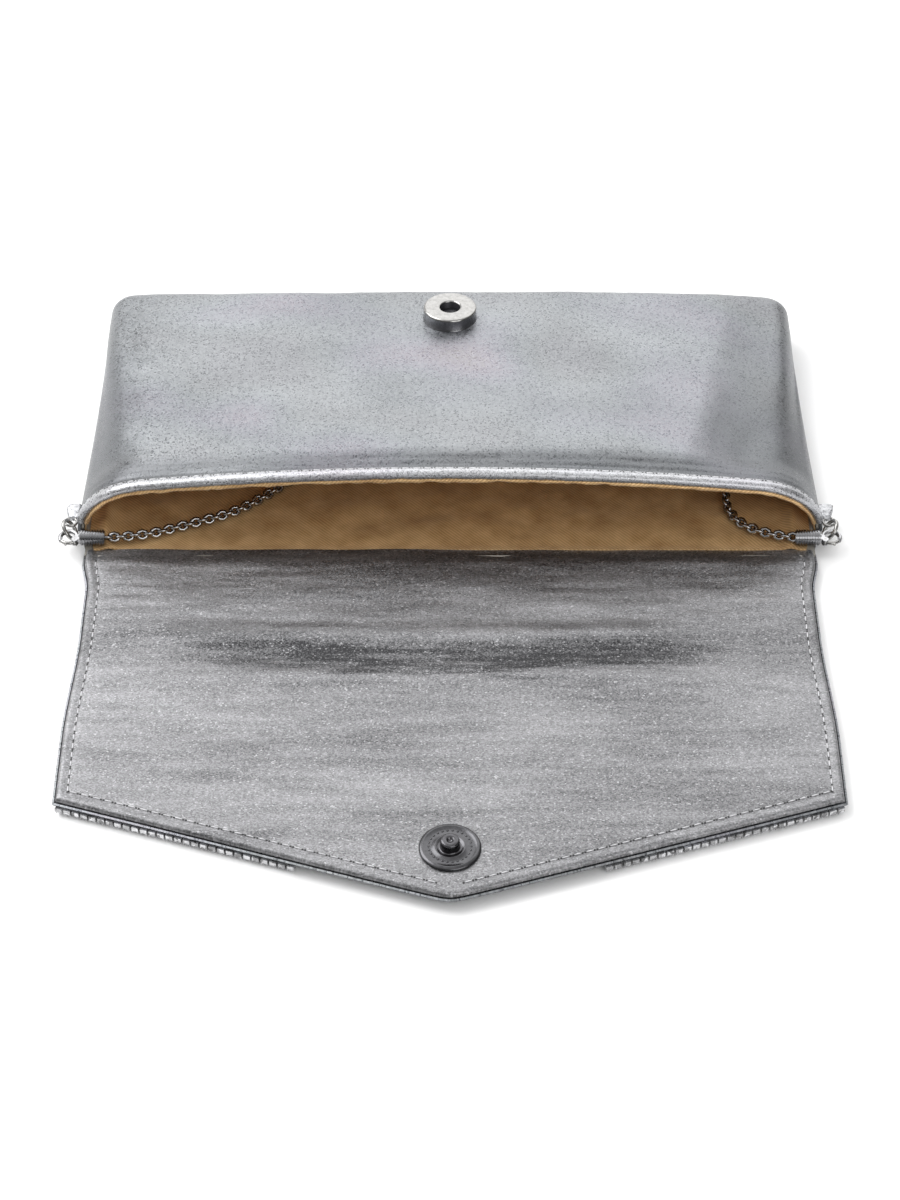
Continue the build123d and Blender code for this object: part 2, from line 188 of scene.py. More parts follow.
class Shader:
    """A material under construction, with its Principled shader."""

    def __init__(self, name: str) -> None:
        """Starts an empty material.

        Args:
            name: the material's name.
        """
        self.material = bpy.data.materials.new(name)
        self.material.use_nodes = True
        self.tree = self.material.node_tree
        self.surface = self.tree.nodes["Principled BSDF"]

    def node(self, kind: str, settings: dict[str, object], *values: object, output: str | int = 0,
             **named: object) -> Value:
        """Adds a node, sets it up and feeds its sockets.

        Args:
            kind: the node's type.
            settings: attributes of the node, set first.
            *values: values or links for its inputs, in order.
            output: the output that is returned.
            **named: values or links for inputs by name, with _ for a space.

        Returns:
            One output of the node.
        """
        made = self.tree.nodes.new(kind)
        for key, setting in settings.items():
            setattr(made, key, setting)
        sockets = [(made.inputs[i], v) for i, v in enumerate(values)]
        sockets += [(made.inputs[key.replace("_", " ")], v) for key, v in named.items()]
        for socket, value in sockets:
            if isinstance(value, Value):
                self.tree.links.new(value.socket, socket)
            elif value is not None:
                socket.default_value = value
        return Value(self, made.outputs[output])

    def feed(self, **named: Value) -> None:
        """Links values that change over the surface to the Principled shader."""
        for key, value in named.items():
            self.tree.links.new(value.socket, self.surface.inputs[key.replace("_", " ")])

    def fix(self, **named: object) -> None:
        """Sets the Principled shader's constants."""
        for key, value in named.items():
            self.surface.inputs[key.replace("_", " ")].default_value = value

    def blend(self, factor: Value, low: Colour | Value, high: Colour | Value) -> Value:
        """Mix of two colours.

        Args:
            factor: 0 gives low and 1 gives high.
            low: a colour or a link.
            high: a colour or a link.

        Returns:
            The mixed colour.
        """
        mixer = self.tree.nodes.new("ShaderNodeMix")
        mixer.data_type = "RGBA"
        self.tree.links.new(factor.socket, mixer.inputs["Factor"])
        for socket, value in ((mixer.inputs[6], low), (mixer.inputs[7], high)):
            if isinstance(value, Value):
                self.tree.links.new(value.socket, socket)
            else:
                socket.default_value = (*value, 1.0)
        return Value(self, mixer.outputs[2])

    def uv(self, scale: tuple[float, float, float] = (1, 1, 1), turn: float = 0.0) -> Value:
        """The piece's own UV map, in millimetres, scaled and turned.

        Args:
            scale: factors along and across the cloth.
            turn: degrees about the cloth's normal.

        Returns:
            The coordinates.
        """
        source = self.node("ShaderNodeTexCoord", {}, output="UV")
        return self.node("ShaderNodeMapping", {}, source, None, (0, 0, math.radians(turn)), scale)

    def object_mm(self) -> Value:
        """The piece's own coordinates in millimetres."""
        source = self.node("ShaderNodeTexCoord", {}, output="Object")
        return self.node("ShaderNodeMapping", {}, source, None, None, (1000, 1000, 1000))

    def noise(self, where: Value, scale: float, detail: float = 2.0, rough: float = 0.5) -> Value:
        """Noise between about 0 and 1."""
        return self.node("ShaderNodeTexNoise", {}, Vector=where, Scale=scale, Detail=detail, Roughness=rough)

    def cells(self, where: Value, scale: float) -> Value:
        """A random number for each small cell."""
        colour = self.node("ShaderNodeTexVoronoi", {}, Vector=where, Scale=scale, output="Color")
        return self.node("ShaderNodeSeparateColor", {}, colour)

    def stretch(self, value: Value, low: float, high: float,
                to_low: float = 0.0, to_high: float = 1.0) -> Value:
        """The value remapped from one range to another, clamped."""
        return self.node("ShaderNodeMapRange", {"clamp": True}, value, low, high, to_low, to_high)

    def relief(self, height: Value, distance: float, strength: float = 1.0) -> None:
        """Feeds a height in metres through a Bump node to the normal."""
        normal = self.node("ShaderNodeBump", {}, Strength=strength, Distance=distance, Height=height)
        self.feed(Normal=normal)


# ---------------------------------------------------------------- finishes


@dataclass(frozen=True)
class LurexFabric:
    """Woven silver lurex: fine speckle of bright and dark threads over a diagonal weave."""

    name: str
    dark: Colour
    light: Colour
    speckle: float = 2.7
    sheen_tint: float = 0.10
    roughness: float = 0.36
    # strength of the painted shade on the panel's side facets and behind the mouth; 0 paints none
    facets: float = 0.0

    def make(self) -> bpy.types.Material:
        """Builds the material."""
        s = Shader(self.name)
        cloth = s.uv()
        grains = s.cells(cloth, self.speckle)
        weave = s.noise(s.uv((1.0, 1.7, 1.0), 32), self.speckle * 0.8, 3.0, 0.8)
        broad = s.noise(s.uv((0.03, 0.045, 1.0)), 1.0, 2.0, 0.5)
        tone = s.stretch(grains * 0.5 + weave * 1.1 + broad * 0.5, 0.55, 1.5)
        colour = s.blend(tone, self.dark, self.light)
        colour = s.blend(s.stretch(grains, 0.0, 0.12, 0.75, 0.0), colour, self.dark)
        hue = s.noise(s.uv((0.02, 0.03, 1.0)), 1.0, 1.0, 0.5)
        rainbow = s.node("ShaderNodeHueSaturation", {}, Hue=hue * 1.6 + s.noise(cloth, 0.9, 1.0) * 0.4,
                         Saturation=1.0, Value=1.0, Fac=1.0, Color=(0.52, 0.42, 0.36, 1.0))
        tint = s.stretch(hue, 0.35, 0.7, 0.0, self.sheen_tint)
        colour = s.blend(tint, colour, rainbow)
        # painted shade: the colour darkens towards 0.6 of the dark tone on the side facets and behind the
        # mouth
        if self.facets:
            colour = s.blend(self.shadow(s), colour, tuple(c * 0.6 for c in self.dark))
        s.feed(Base_Color=colour,
               Roughness=s.stretch(grains, 0.0, 1.0, self.roughness - 0.12, self.roughness + 0.14),
               Metallic=s.stretch(weave, 0.3, 0.7, 0.75, 0.95))
        s.relief(grains * 0.5 + weave, 0.00006, 0.7)
        return s.material

    def shadow(self, s: Shader) -> Value:
        """Painted shade on the panel's two side facets and on a ragged band behind the mouth, where shade
        falls.

        Args:
            s: the material being built.

        Returns:
            0 on plain cloth, up to the facets' strength where shade is painted.
        """
        across = s.node("ShaderNodeSeparateXYZ", {}, s.uv(), output="X")
        down = s.node("ShaderNodeSeparateXYZ", {}, s.uv(), output="Y")
        ragged = s.noise(s.uv((0.10, 0.06, 1.0)), 1.0, 3.0, 0.6) * 8.0 - 4.0
        streaks = s.noise(s.uv((0.05, 0.8, 1.0)), 1.0, 3.0, 0.6)
        # painted shade on the right and left side facets, fading towards the closed end
        right = s.stretch(across - down * 0.2 + ragged, 165.5, 172.0)
        left = s.stretch(across + down * 0.04 + ragged, 22.0, 29.5, 0.9, 0.0)
        sides = (right + left).clamp() * s.stretch(down, 28.0, 92.0, 1.0, 0.0)
        # painted shade in a ragged band 1.5 to 12.5 mm behind the mouth's edge
        mouth_shade = s.stretch(down, 1.5, 3.5) * s.stretch(down + streaks * 4.0, 9.0, 12.5, 1.0, 0.0)
        mouth_shade = mouth_shade * s.stretch(streaks, 0.25, 0.6, 0.5, 1.0)
        return (sides + mouth_shade * 1.1).clamp() * self.facets


@dataclass(frozen=True)
class LameLining:
    """Silver lame: thin metallic cloth with streaks that run across it and fine sparkle, with painted glints
    and a band of painted shade along the flap's fold crease.
    """

    name: str
    dark: Colour
    light: Colour
    # crease: strength of the painted shade along the flap's fold crease
    crease: float = 0.72

    def make(self) -> bpy.types.Material:
        """Builds the material."""
        s = Shader(self.name)
        grains = s.cells(s.uv((1.0, 1.3, 1.0)), 2.7)
        fine = s.noise(s.uv((0.9, 1.4, 1.0), 8), 2.2, 3.0, 0.85)
        streaks = s.noise(s.uv((0.035, 0.26, 1.0)), 1.0, 4.0, 0.6)
        patches = s.noise(s.uv((0.014, 0.045, 1.0)), 1.0, 2.0, 0.5)
        along = s.node("ShaderNodeSeparateXYZ", {}, s.uv(), output="Y")
        across = s.node("ShaderNodeSeparateXYZ", {}, s.uv(), output="X")
        drift = streaks * 14.0 - 7.0 + fine * 3.0 - 1.5
        bowed = along + drift + across * across * 0.0007
        # painted shade: a ragged band across the flap 32 to 46 mm from the hinge, along the fold crease,
        # weaker towards the sides
        band = s.stretch(bowed, 32.0, 36.5) * s.stretch(bowed, 41.0, 46.5, 1.0, 0.0)
        broken = s.stretch(s.noise(s.uv((0.045, 0.5, 1.0)), 1.0, 3.0, 0.6), 0.32, 0.58, 0.5, 1.0)
        crease_shade = band * broken * s.stretch(across * across, 1200.0, 5200.0, self.crease, 0.0)
        grit = grains * 0.62 + fine * 1.1 + streaks * 1.0 + patches * 1.0
        tone = s.stretch(grit - crease_shade, 1.15, 2.4)
        colour = s.blend(tone, self.dark, self.light)
        # painted glints: the brightest few cells of grain are mixed towards near-white
        s.feed(Base_Color=s.blend(s.stretch(grains, 0.95, 1.0) * 0.3, colour, (0.8, 0.8, 0.82)),
               Roughness=s.stretch(streaks + grains * 0.4, 0.4, 1.0, 0.30, 0.50),
               Metallic=s.stretch(fine, 0.3, 0.7, 0.85, 1.0))
        s.relief(grains * 0.5 + fine * 0.8 + streaks * 1.6, 0.00008, 0.8)
        return s.material


@dataclass(frozen=True)
class SatinTwill:
    """Gold satin with a fine diagonal rib."""

    name: str
    dark: Colour
    light: Colour
    rib: float = 1.5

    def make(self) -> bpy.types.Material:
        """Builds the material."""
        s = Shader(self.name)
        ribs = s.node("ShaderNodeTexWave", {"wave_type": "BANDS", "bands_direction": "DIAGONAL"},
                      Vector=s.uv(), Scale=self.rib, Distortion=0.6, Detail=1.0, output="Fac")
        blotch = s.noise(s.uv((0.12, 0.12, 1.0)), 1.0, 2.0, 0.6)
        colour = s.blend(s.stretch(ribs * 0.3 + blotch * 0.9, 0.2, 1.0), self.dark, self.light)
        s.feed(Base_Color=colour, Roughness=s.stretch(ribs, 0.0, 1.0, 0.46, 0.34))
        s.relief(ribs, 0.00006, 0.7)
        s.fix(Metallic=0.35, Sheen_Weight=0.25, Sheen_Roughness=0.4)
        return s.material


@dataclass(frozen=True)
class PlatedMetal:
    """Polished or satin plating with faint rubbing and small pits."""

    name: str
    colour: Colour
    roughness: float
    wear: float = 0.08

    def make(self) -> bpy.types.Material:
        """Builds the material."""
        s = Shader(self.name)
        where = s.object_mm()
        smear = s.noise(where, 0.9, 4.0, 0.6)
        pits = s.noise(where, 5.0, 2.0, 0.5)
        darker = tuple(c * 0.72 for c in self.colour)
        s.feed(Base_Color=s.blend(s.stretch(smear, 0.3, 0.7), darker, self.colour),
               Roughness=s.stretch(smear, 0.3, 0.7, self.roughness, self.roughness + self.wear))
        s.relief(pits, 0.00001, 0.35)
        s.fix(Metallic=1.0)
        return s.material


@dataclass(frozen=True)
class Crystal:
    """Cut stone or small claws, with painted reflections: each cell of the surface is coloured dark or bright
    at random, as facets that mirror dark or bright surroundings.
    """

    name: str
    colour: Colour
    # size of the cells of painted reflection
    facets: float = 1.3

    def make(self) -> bpy.types.Material:
        """Builds the material."""
        s = Shader(self.name)
        # painted reflections: each cell's colour lies between 0.12 of the colour and the full colour
        facet = s.cells(s.object_mm(), self.facets)
        s.feed(Base_Color=s.blend(facet, tuple(c * 0.12 for c in self.colour), self.colour),
               Metallic=s.stretch(facet, 0.0, 1.0, 0.5, 0.95))
        s.fix(Roughness=0.06, Coat_Weight=1.0, Coat_Roughness=0.03, IOR=1.6)
        return s.material


@dataclass(frozen=True)
class PlainSolid:
    """Board, magnet or thread: a matte solid with a little grain."""

    name: str
    colour: Colour
    roughness: float = 0.7
    grain: float = 2.0
    metallic: float = 0.0

    def make(self) -> bpy.types.Material:
        """Builds the material."""
        s = Shader(self.name)
        grit = s.noise(s.object_mm(), self.grain, 4.0, 0.65)
        darker = tuple(c * 0.7 for c in self.colour)
        s.feed(Base_Color=s.blend(s.stretch(grit, 0.3, 0.7), darker, self.colour),
               Roughness=s.stretch(grit, 0.3, 0.7, self.roughness - 0.1, self.roughness + 0.1))
        s.relief(grit, 0.00004, 0.5)
        s.fix(Metallic=self.metallic)
        return s.material


FINISHES = {
    "silver": LurexFabric("silver_lurex", (0.082, 0.085, 0.092), (0.35, 0.358, 0.372)),
    # the front panel's lurex, with painted shade on its side facets and behind the mouth
    "panel": LurexFabric("silver_panel", (0.082, 0.085, 0.092), (0.35, 0.358, 0.372), facets=0.5),
    "binding": LurexFabric("silver_binding", (0.22, 0.22, 0.23), (0.62, 0.62, 0.64),
                           speckle=2.6, roughness=0.32),
    "lame": LameLining("silver_lame", (0.035, 0.035, 0.037), (0.35, 0.35, 0.36)),
    "gold": SatinTwill("gold_twill", (0.36, 0.18, 0.06), (0.95, 0.66, 0.33), 0.6),
    "nickel": PlatedMetal("polished_nickel", (0.36, 0.355, 0.345), 0.12, 0.05),
    "gunmetal": PlatedMetal("gunmetal", (0.095, 0.095, 0.10), 0.18),
    "chain": PlatedMetal("silver_chain", (0.44, 0.44, 0.45), 0.15),
    # darker nickel of the chain's end barrels, also painted shade on the snap cap's side wall
    "barrel_and_snap_wall_shade": PlatedMetal("dark_nickel_and_snap_wall_shade", (0.28, 0.28, 0.29), 0.18),
    "settings": Crystal("plated_settings", (0.80, 0.80, 0.82), 0.9),
    "stones": Crystal("clear_crystal", (0.93, 0.94, 0.97)),
    "board": PlainSolid("grey_board", (0.42, 0.40, 0.36)),
    # the magnet's dark iron, also painted shade inside the snap cap's hole
    "magnet": PlainSolid("magnet_iron", (0.05, 0.05, 0.055), 0.45, 3.0, 0.6),
    "thread": PlainSolid("silver_thread", (0.78, 0.78, 0.80), 0.45, 6.0, 0.5),
    # dark blobs of painted shade in the stitches' needle holes
    "needle": PlainSolid("needle_hole_shade", (0.07, 0.07, 0.07), 0.9, 3.0),
}
_made: dict[str, bpy.types.Material] = {}


def finish_named(name: str) -> bpy.types.Material:
    """The material of a finish, made once."""
    if name not in _made:
        _made[name] = FINISHES[name].make()
    return _made[name]


# ---------------------------------------------------------------- meshes


def to_object(name: str, bm: bmesh.types.BMesh, finishes: Sequence[str],
              flat: bool = False) -> bpy.types.Object:
    """Turns a bmesh into an object with its finishes.

    Args:
        name: the piece's name.
        bm: the mesh, which is freed.
        finishes: names of finishes, one per material index.
        flat: true for faceted shading.

    Returns:
        The new object.
    """
    mesh = bpy.data.meshes.new(name)
    for face in bm.faces:
        face.smooth = not flat
    bm.to_mesh(mesh)
    bm.free()
    made = bpy.data.objects.new(name, mesh)
    bpy.context.collection.objects.link(made)
    for finish in finishes:
        mesh.materials.append(finish_named(finish))
    return made


def cloth_grid(name: str, across: Sequence[float], along: Sequence[float],
               place: Callable[[float, float], Vector], finish: str,
               cloth: Callable[[float, float], tuple[float, float]], flip: bool = False) -> bpy.types.Object:
    """A sheet of cloth from a grid whose points are moved into place.

    Args:
        name: the piece's name.
        across: grid values along its first way.
        along: grid values along its second way.
        place: gives the point in metres for one pair of grid values.
        finish: the finish's name.
        cloth: gives the cloth's own coordinates in millimetres.
        flip: true to turn the faces over.

    Returns:
        The sheet.
    """
    columns, rows = len(across) - 1, len(along) - 1
    bm = bmesh.new()
    bmesh.ops.create_grid(bm, x_segments=columns, y_segments=rows, size=0.5)
    own: dict[bmesh.types.BMVert, tuple[float, float]] = {}
    for vert in bm.verts:
        u = across[round((vert.co.x + 0.5) * columns)]
        v = along[round((vert.co.y + 0.5) * rows)]
        own[vert] = cloth(u, v)
        vert.co = place(u, v)
    layer = bm.loops.layers.uv.new("cloth")
    for face in bm.faces:
        for loop in face.loops:
            loop[layer].uv = own[loop.vert]
    if flip:
        bmesh.ops.reverse_faces(bm, faces=bm.faces)
    for edge in bm.edges:
        edge.smooth = not edge.is_boundary
    return to_object(name, bm, [finish])


def thicken(piece: bpy.types.Object, thickness: float) -> None:
    """Gives a sheet its thickness in millimetres, inwards from its face, with a live Solidify."""
    shell = piece.modifiers.new("thickness", "SOLIDIFY")
    shell.thickness, shell.offset = thickness * MM, -1.0


def lathe(profile: Iterable[tuple[float, float]], steps: int = 64) -> bmesh.types.BMesh:
    """Body of revolution about Z from radius and height pairs in millimetres.

    Args:
        profile: points from the axis or rim to the other end.
        steps: facets round the axis.

    Returns:
        The mesh, in metres about the origin.
    """
    bm = bmesh.new()
    verts = [bm.verts.new((r * MM, 0, z * MM)) for r, z in profile]
    edges = [bm.edges.new(pair) for pair in zip(verts, verts[1:])]
    bmesh.ops.spin(bm, geom=verts + edges, cent=(0, 0, 0), axis=(0, 0, 1), angle=math.tau,
                   steps=steps, use_merge=True)
    bmesh.ops.remove_doubles(bm, verts=bm.verts, dist=1e-7)
    bmesh.ops.recalc_face_normals(bm, faces=bm.faces)
    return bm


def torus(major: float, minor: float, around: int = 40, section: int = 12,
          sweep: tuple[float, float] = (0.0, 360.0)) -> bmesh.types.BMesh:
    """Ring of round wire, or an arc of one with closed ends, in millimetres about Z.

    Args:
        major: radius of the wire's centre line.
        minor: radius of the wire.
        around: steps along the ring.
        section: facets of the wire.
        sweep: first and last angle in degrees.

    Returns:
        The mesh, in metres.
    """
    bm = bmesh.new()
    whole = abs(sweep[1] - sweep[0]) >= 359.9
    turn = Matrix.Rotation(math.radians(sweep[0]), 4, "Z")
    stand = Matrix.Translation((major * MM, 0, 0)) @ Matrix.Rotation(math.pi / 2, 4, "X")
    bmesh.ops.create_circle(bm, cap_ends=not whole, segments=section, radius=minor * MM, matrix=turn @ stand)
    start = bm.faces[:] + bm.edges[:] + bm.verts[:]
    bmesh.ops.spin(bm, geom=start, cent=(0, 0, 0), axis=(0, 0, 1),
                   angle=math.radians(sweep[1] - sweep[0]), steps=around, use_merge=whole)
    bmesh.ops.recalc_face_normals(bm, faces=bm.faces)
    return bm


def join(parts: Iterable[tuple[bmesh.types.BMesh, Matrix, int | None]]) -> bmesh.types.BMesh:
    """Puts placed meshes into one, and frees them.

    Args:
        parts: mesh, place and material index of each, or None to keep its own.

    Returns:
        The joined mesh.
    """
    whole = bmesh.new()
    for part, place, index in parts:
        part.transform(place)
        for face in part.faces:
            face.material_index = face.material_index if index is None else index
        scrap = bpy.data.meshes.new("scrap")
        part.to_mesh(scrap)
        part.free()
        whole.from_mesh(scrap)
        bpy.data.meshes.remove(scrap)
    return whole


def repeat(template: bmesh.types.BMesh, places: Iterable[Matrix]) -> bmesh.types.BMesh:
    """Copies of one mesh at many places.

    Args:
        template: the mesh, which is freed.
        places: where each copy goes.

    Returns:
        All the copies in one mesh.
    """
    scrap = bpy.data.meshes.new("scrap")
    template.to_mesh(scrap)
    template.free()
    whole = bmesh.new()
    for place in places:
        copy = scrap.copy()
        copy.transform(place)
        whole.from_mesh(copy)
        bpy.data.meshes.remove(copy)
    bpy.data.meshes.remove(scrap)
    return whole


def settle(piece: bpy.types.Object, body: str, slot: Slot, *nodes: str) -> bpy.types.Object:
    """Rides a piece on a body and hides the CAD nodes that it stands for.

    Args:
        piece: the finished piece.
        body: the frame body it moves with.
        slot: the record's material slot; not used.
        *nodes: CAD nodes that it replaces.

    Returns:
        The same piece.
    """
    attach(piece, body)
    if nodes:
        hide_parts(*nodes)
    log.info("piece %s on %s", piece.name, body)
    return piece


# ---------------------------------------------------------------- the bag's form


@dataclass(frozen=True)
class BagForm:
    """The stuffed body's form, in millimetres from the flap hinge."""

    mouth_half: float = 93.6
    end_half: float = 89.8
    mouth_top: float = 24.7
    end_top: float = 16.6
    centre_y: float = 4.4
    corner_y: float = 10.4
    length: float = 92.0
    haunch_share: float = 0.8
    end_corner: float = 5.5
    end_crown: float = 1.1
    top_rounding: float = 8.0
    foot_rounding: float = 5.0
    corner_rounding: float = 6.0
    inside: float = 2.2

    def half(self, y: float) -> float:
        """Half width at y."""
        share = (y - self.centre_y) / (self.length - self.centre_y)
        return self.mouth_half + share * (self.end_half - self.mouth_half)

    def top(self, y: float) -> float:
        """Height of the front panel's middle at y."""
        share = (y - self.centre_y) / (self.length - self.centre_y)
        return self.mouth_top + share * (self.end_top - self.mouth_top)

    def slant(self, z: float) -> float:
        """How far the mouth's edge leans back at height z."""
        return (self.mouth_top - z) * (self.corner_y - self.centre_y) / self.mouth_top

    def arch(self, share: float, half: float, height: float) -> tuple[float, float]:
        """Point on an arch of one crown arc between two haunch arcs.

        Args:
            share: 0 at the left foot, 1 at the right, by length.
            half: half width.
            height: height of the crown.

        Returns:
            Its x and z.
        """
        haunch = self.haunch_share * height
        crown = (half**2 - 2 * half * haunch + height**2) / (2 * (height - haunch))
        turn = math.atan2(half - haunch, crown - height)
        crown_run, haunch_run = crown * turn, haunch * (math.pi / 2 - turn)
        walked = abs(share - 0.5) * 2 * (crown_run + haunch_run)
        side = -1 if share < 0.5 else 1
        if walked <= crown_run:
            lean = walked / crown
            return side * crown * math.sin(lean), height - crown + crown * math.cos(lean)
        lean = turn + (walked - crown_run) / haunch
        return side * (half - haunch + haunch * math.sin(lean)), haunch * math.cos(lean)

    def box(self, share: float, half: float, height: float) -> tuple[float, float]:
        """Point on the closed end's boxy section: upright sides, rounded corners and a low crown.

        Args:
            share: 0 at the left foot, 1 at the right, by length.
            half: half width.
            height: height of the crown.

        Returns:
            Its x and z.
        """
        corner = min(self.end_corner, 0.7 * height)
        runs = half - corner, corner * math.pi / 2, height - corner
        walked = abs(share - 0.5) * 2 * sum(runs)
        turn = min(max(walked - runs[0], 0.0) / corner, math.pi / 2)
        x = min(walked, runs[0]) + corner * math.sin(turn)
        z = height - corner + corner * math.cos(turn) - max(0.0, walked - runs[0] - runs[1])
        z -= self.end_crown * (x / half) ** 2 * z / height
        return math.copysign(x, share - 0.5), z

    def crest(self, down: float, inset: float) -> tuple[float, float]:
        """Point on the body's middle line from the mouth over the closed end.

        Args:
            down: 0 at the mouth, 1 under the closed end.
            inset: depth below the outer surface.

        Returns:
            Its y and z.
        """
        over, under = self.top_rounding - inset, max(self.foot_rounding - inset, 2.0)
        far = self.length - inset
        high = self.top(far - over) - inset
        low = 0.4 + inset
        quarter = math.pi / 2
        runs = [far - over - self.centre_y, over * quarter, high - over - low - under, under * quarter]
        walked = down * sum(runs)
        if walked <= runs[0]:
            y = self.centre_y + walked
            return y, self.top(y) - inset
        walked -= runs[0]
        if walked <= runs[1]:
            turn = walked / over
            return far - over + over * math.sin(turn), high - over + over * math.cos(turn)
        walked -= runs[1]
        if walked <= runs[2]:
            return far, high - over - walked
        turn = (walked - runs[2]) / under
        return far - under + under * math.cos(turn), low + under - under * math.sin(turn)

    def shell(self, share: float, down: float, inset: float = 0.0) -> Vector:
        """Point on the front panel's surface, before its creases.

        Args:
            share: 0 at the left foot to 1 at the right foot.
            down: 0 at the mouth to 1 under the closed end.
            inset: depth below the outer surface.

        Returns:
            The point in metres.
        """
        y, height = self.crest(down, inset)
        rounding = self.corner_rounding - min(inset, 2.0)
        past = max(0.0, y - (self.length - inset - rounding))
        tuck = rounding - math.sqrt(max(0.0, rounding**2 - past**2))
        half, boxy = self.half(y) - inset - tuck, smooth(0.1, 0.95, y / self.length)
        soft, hard = self.arch(share, half, height), self.box(share, half, height)
        x, z = (a + (b - a) * boxy for a, b in zip(soft, hard))
        z = max(z, 0.4 + 0.6 * inset)
        y += self.slant(z) * (1 - smooth(0.0, 0.75, down))
        return at(x, y, z)


FORM = BagForm()


def wander(x: float, y: float, seed: float, octaves: int = 3) -> float:
    """Smooth noise about zero at a place on a cloth.

    Args:
        x: first coordinate, in units of the noise's own size.
        y: second coordinate.
        seed: which noise.
        octaves: how many finer layers.

    Returns:
        A number between about -1 and 1.
    """
    return noise.fractal(Vector((x, y, seed)), 0.8, 2.0, octaves, noise_basis="PERLIN_ORIGINAL")


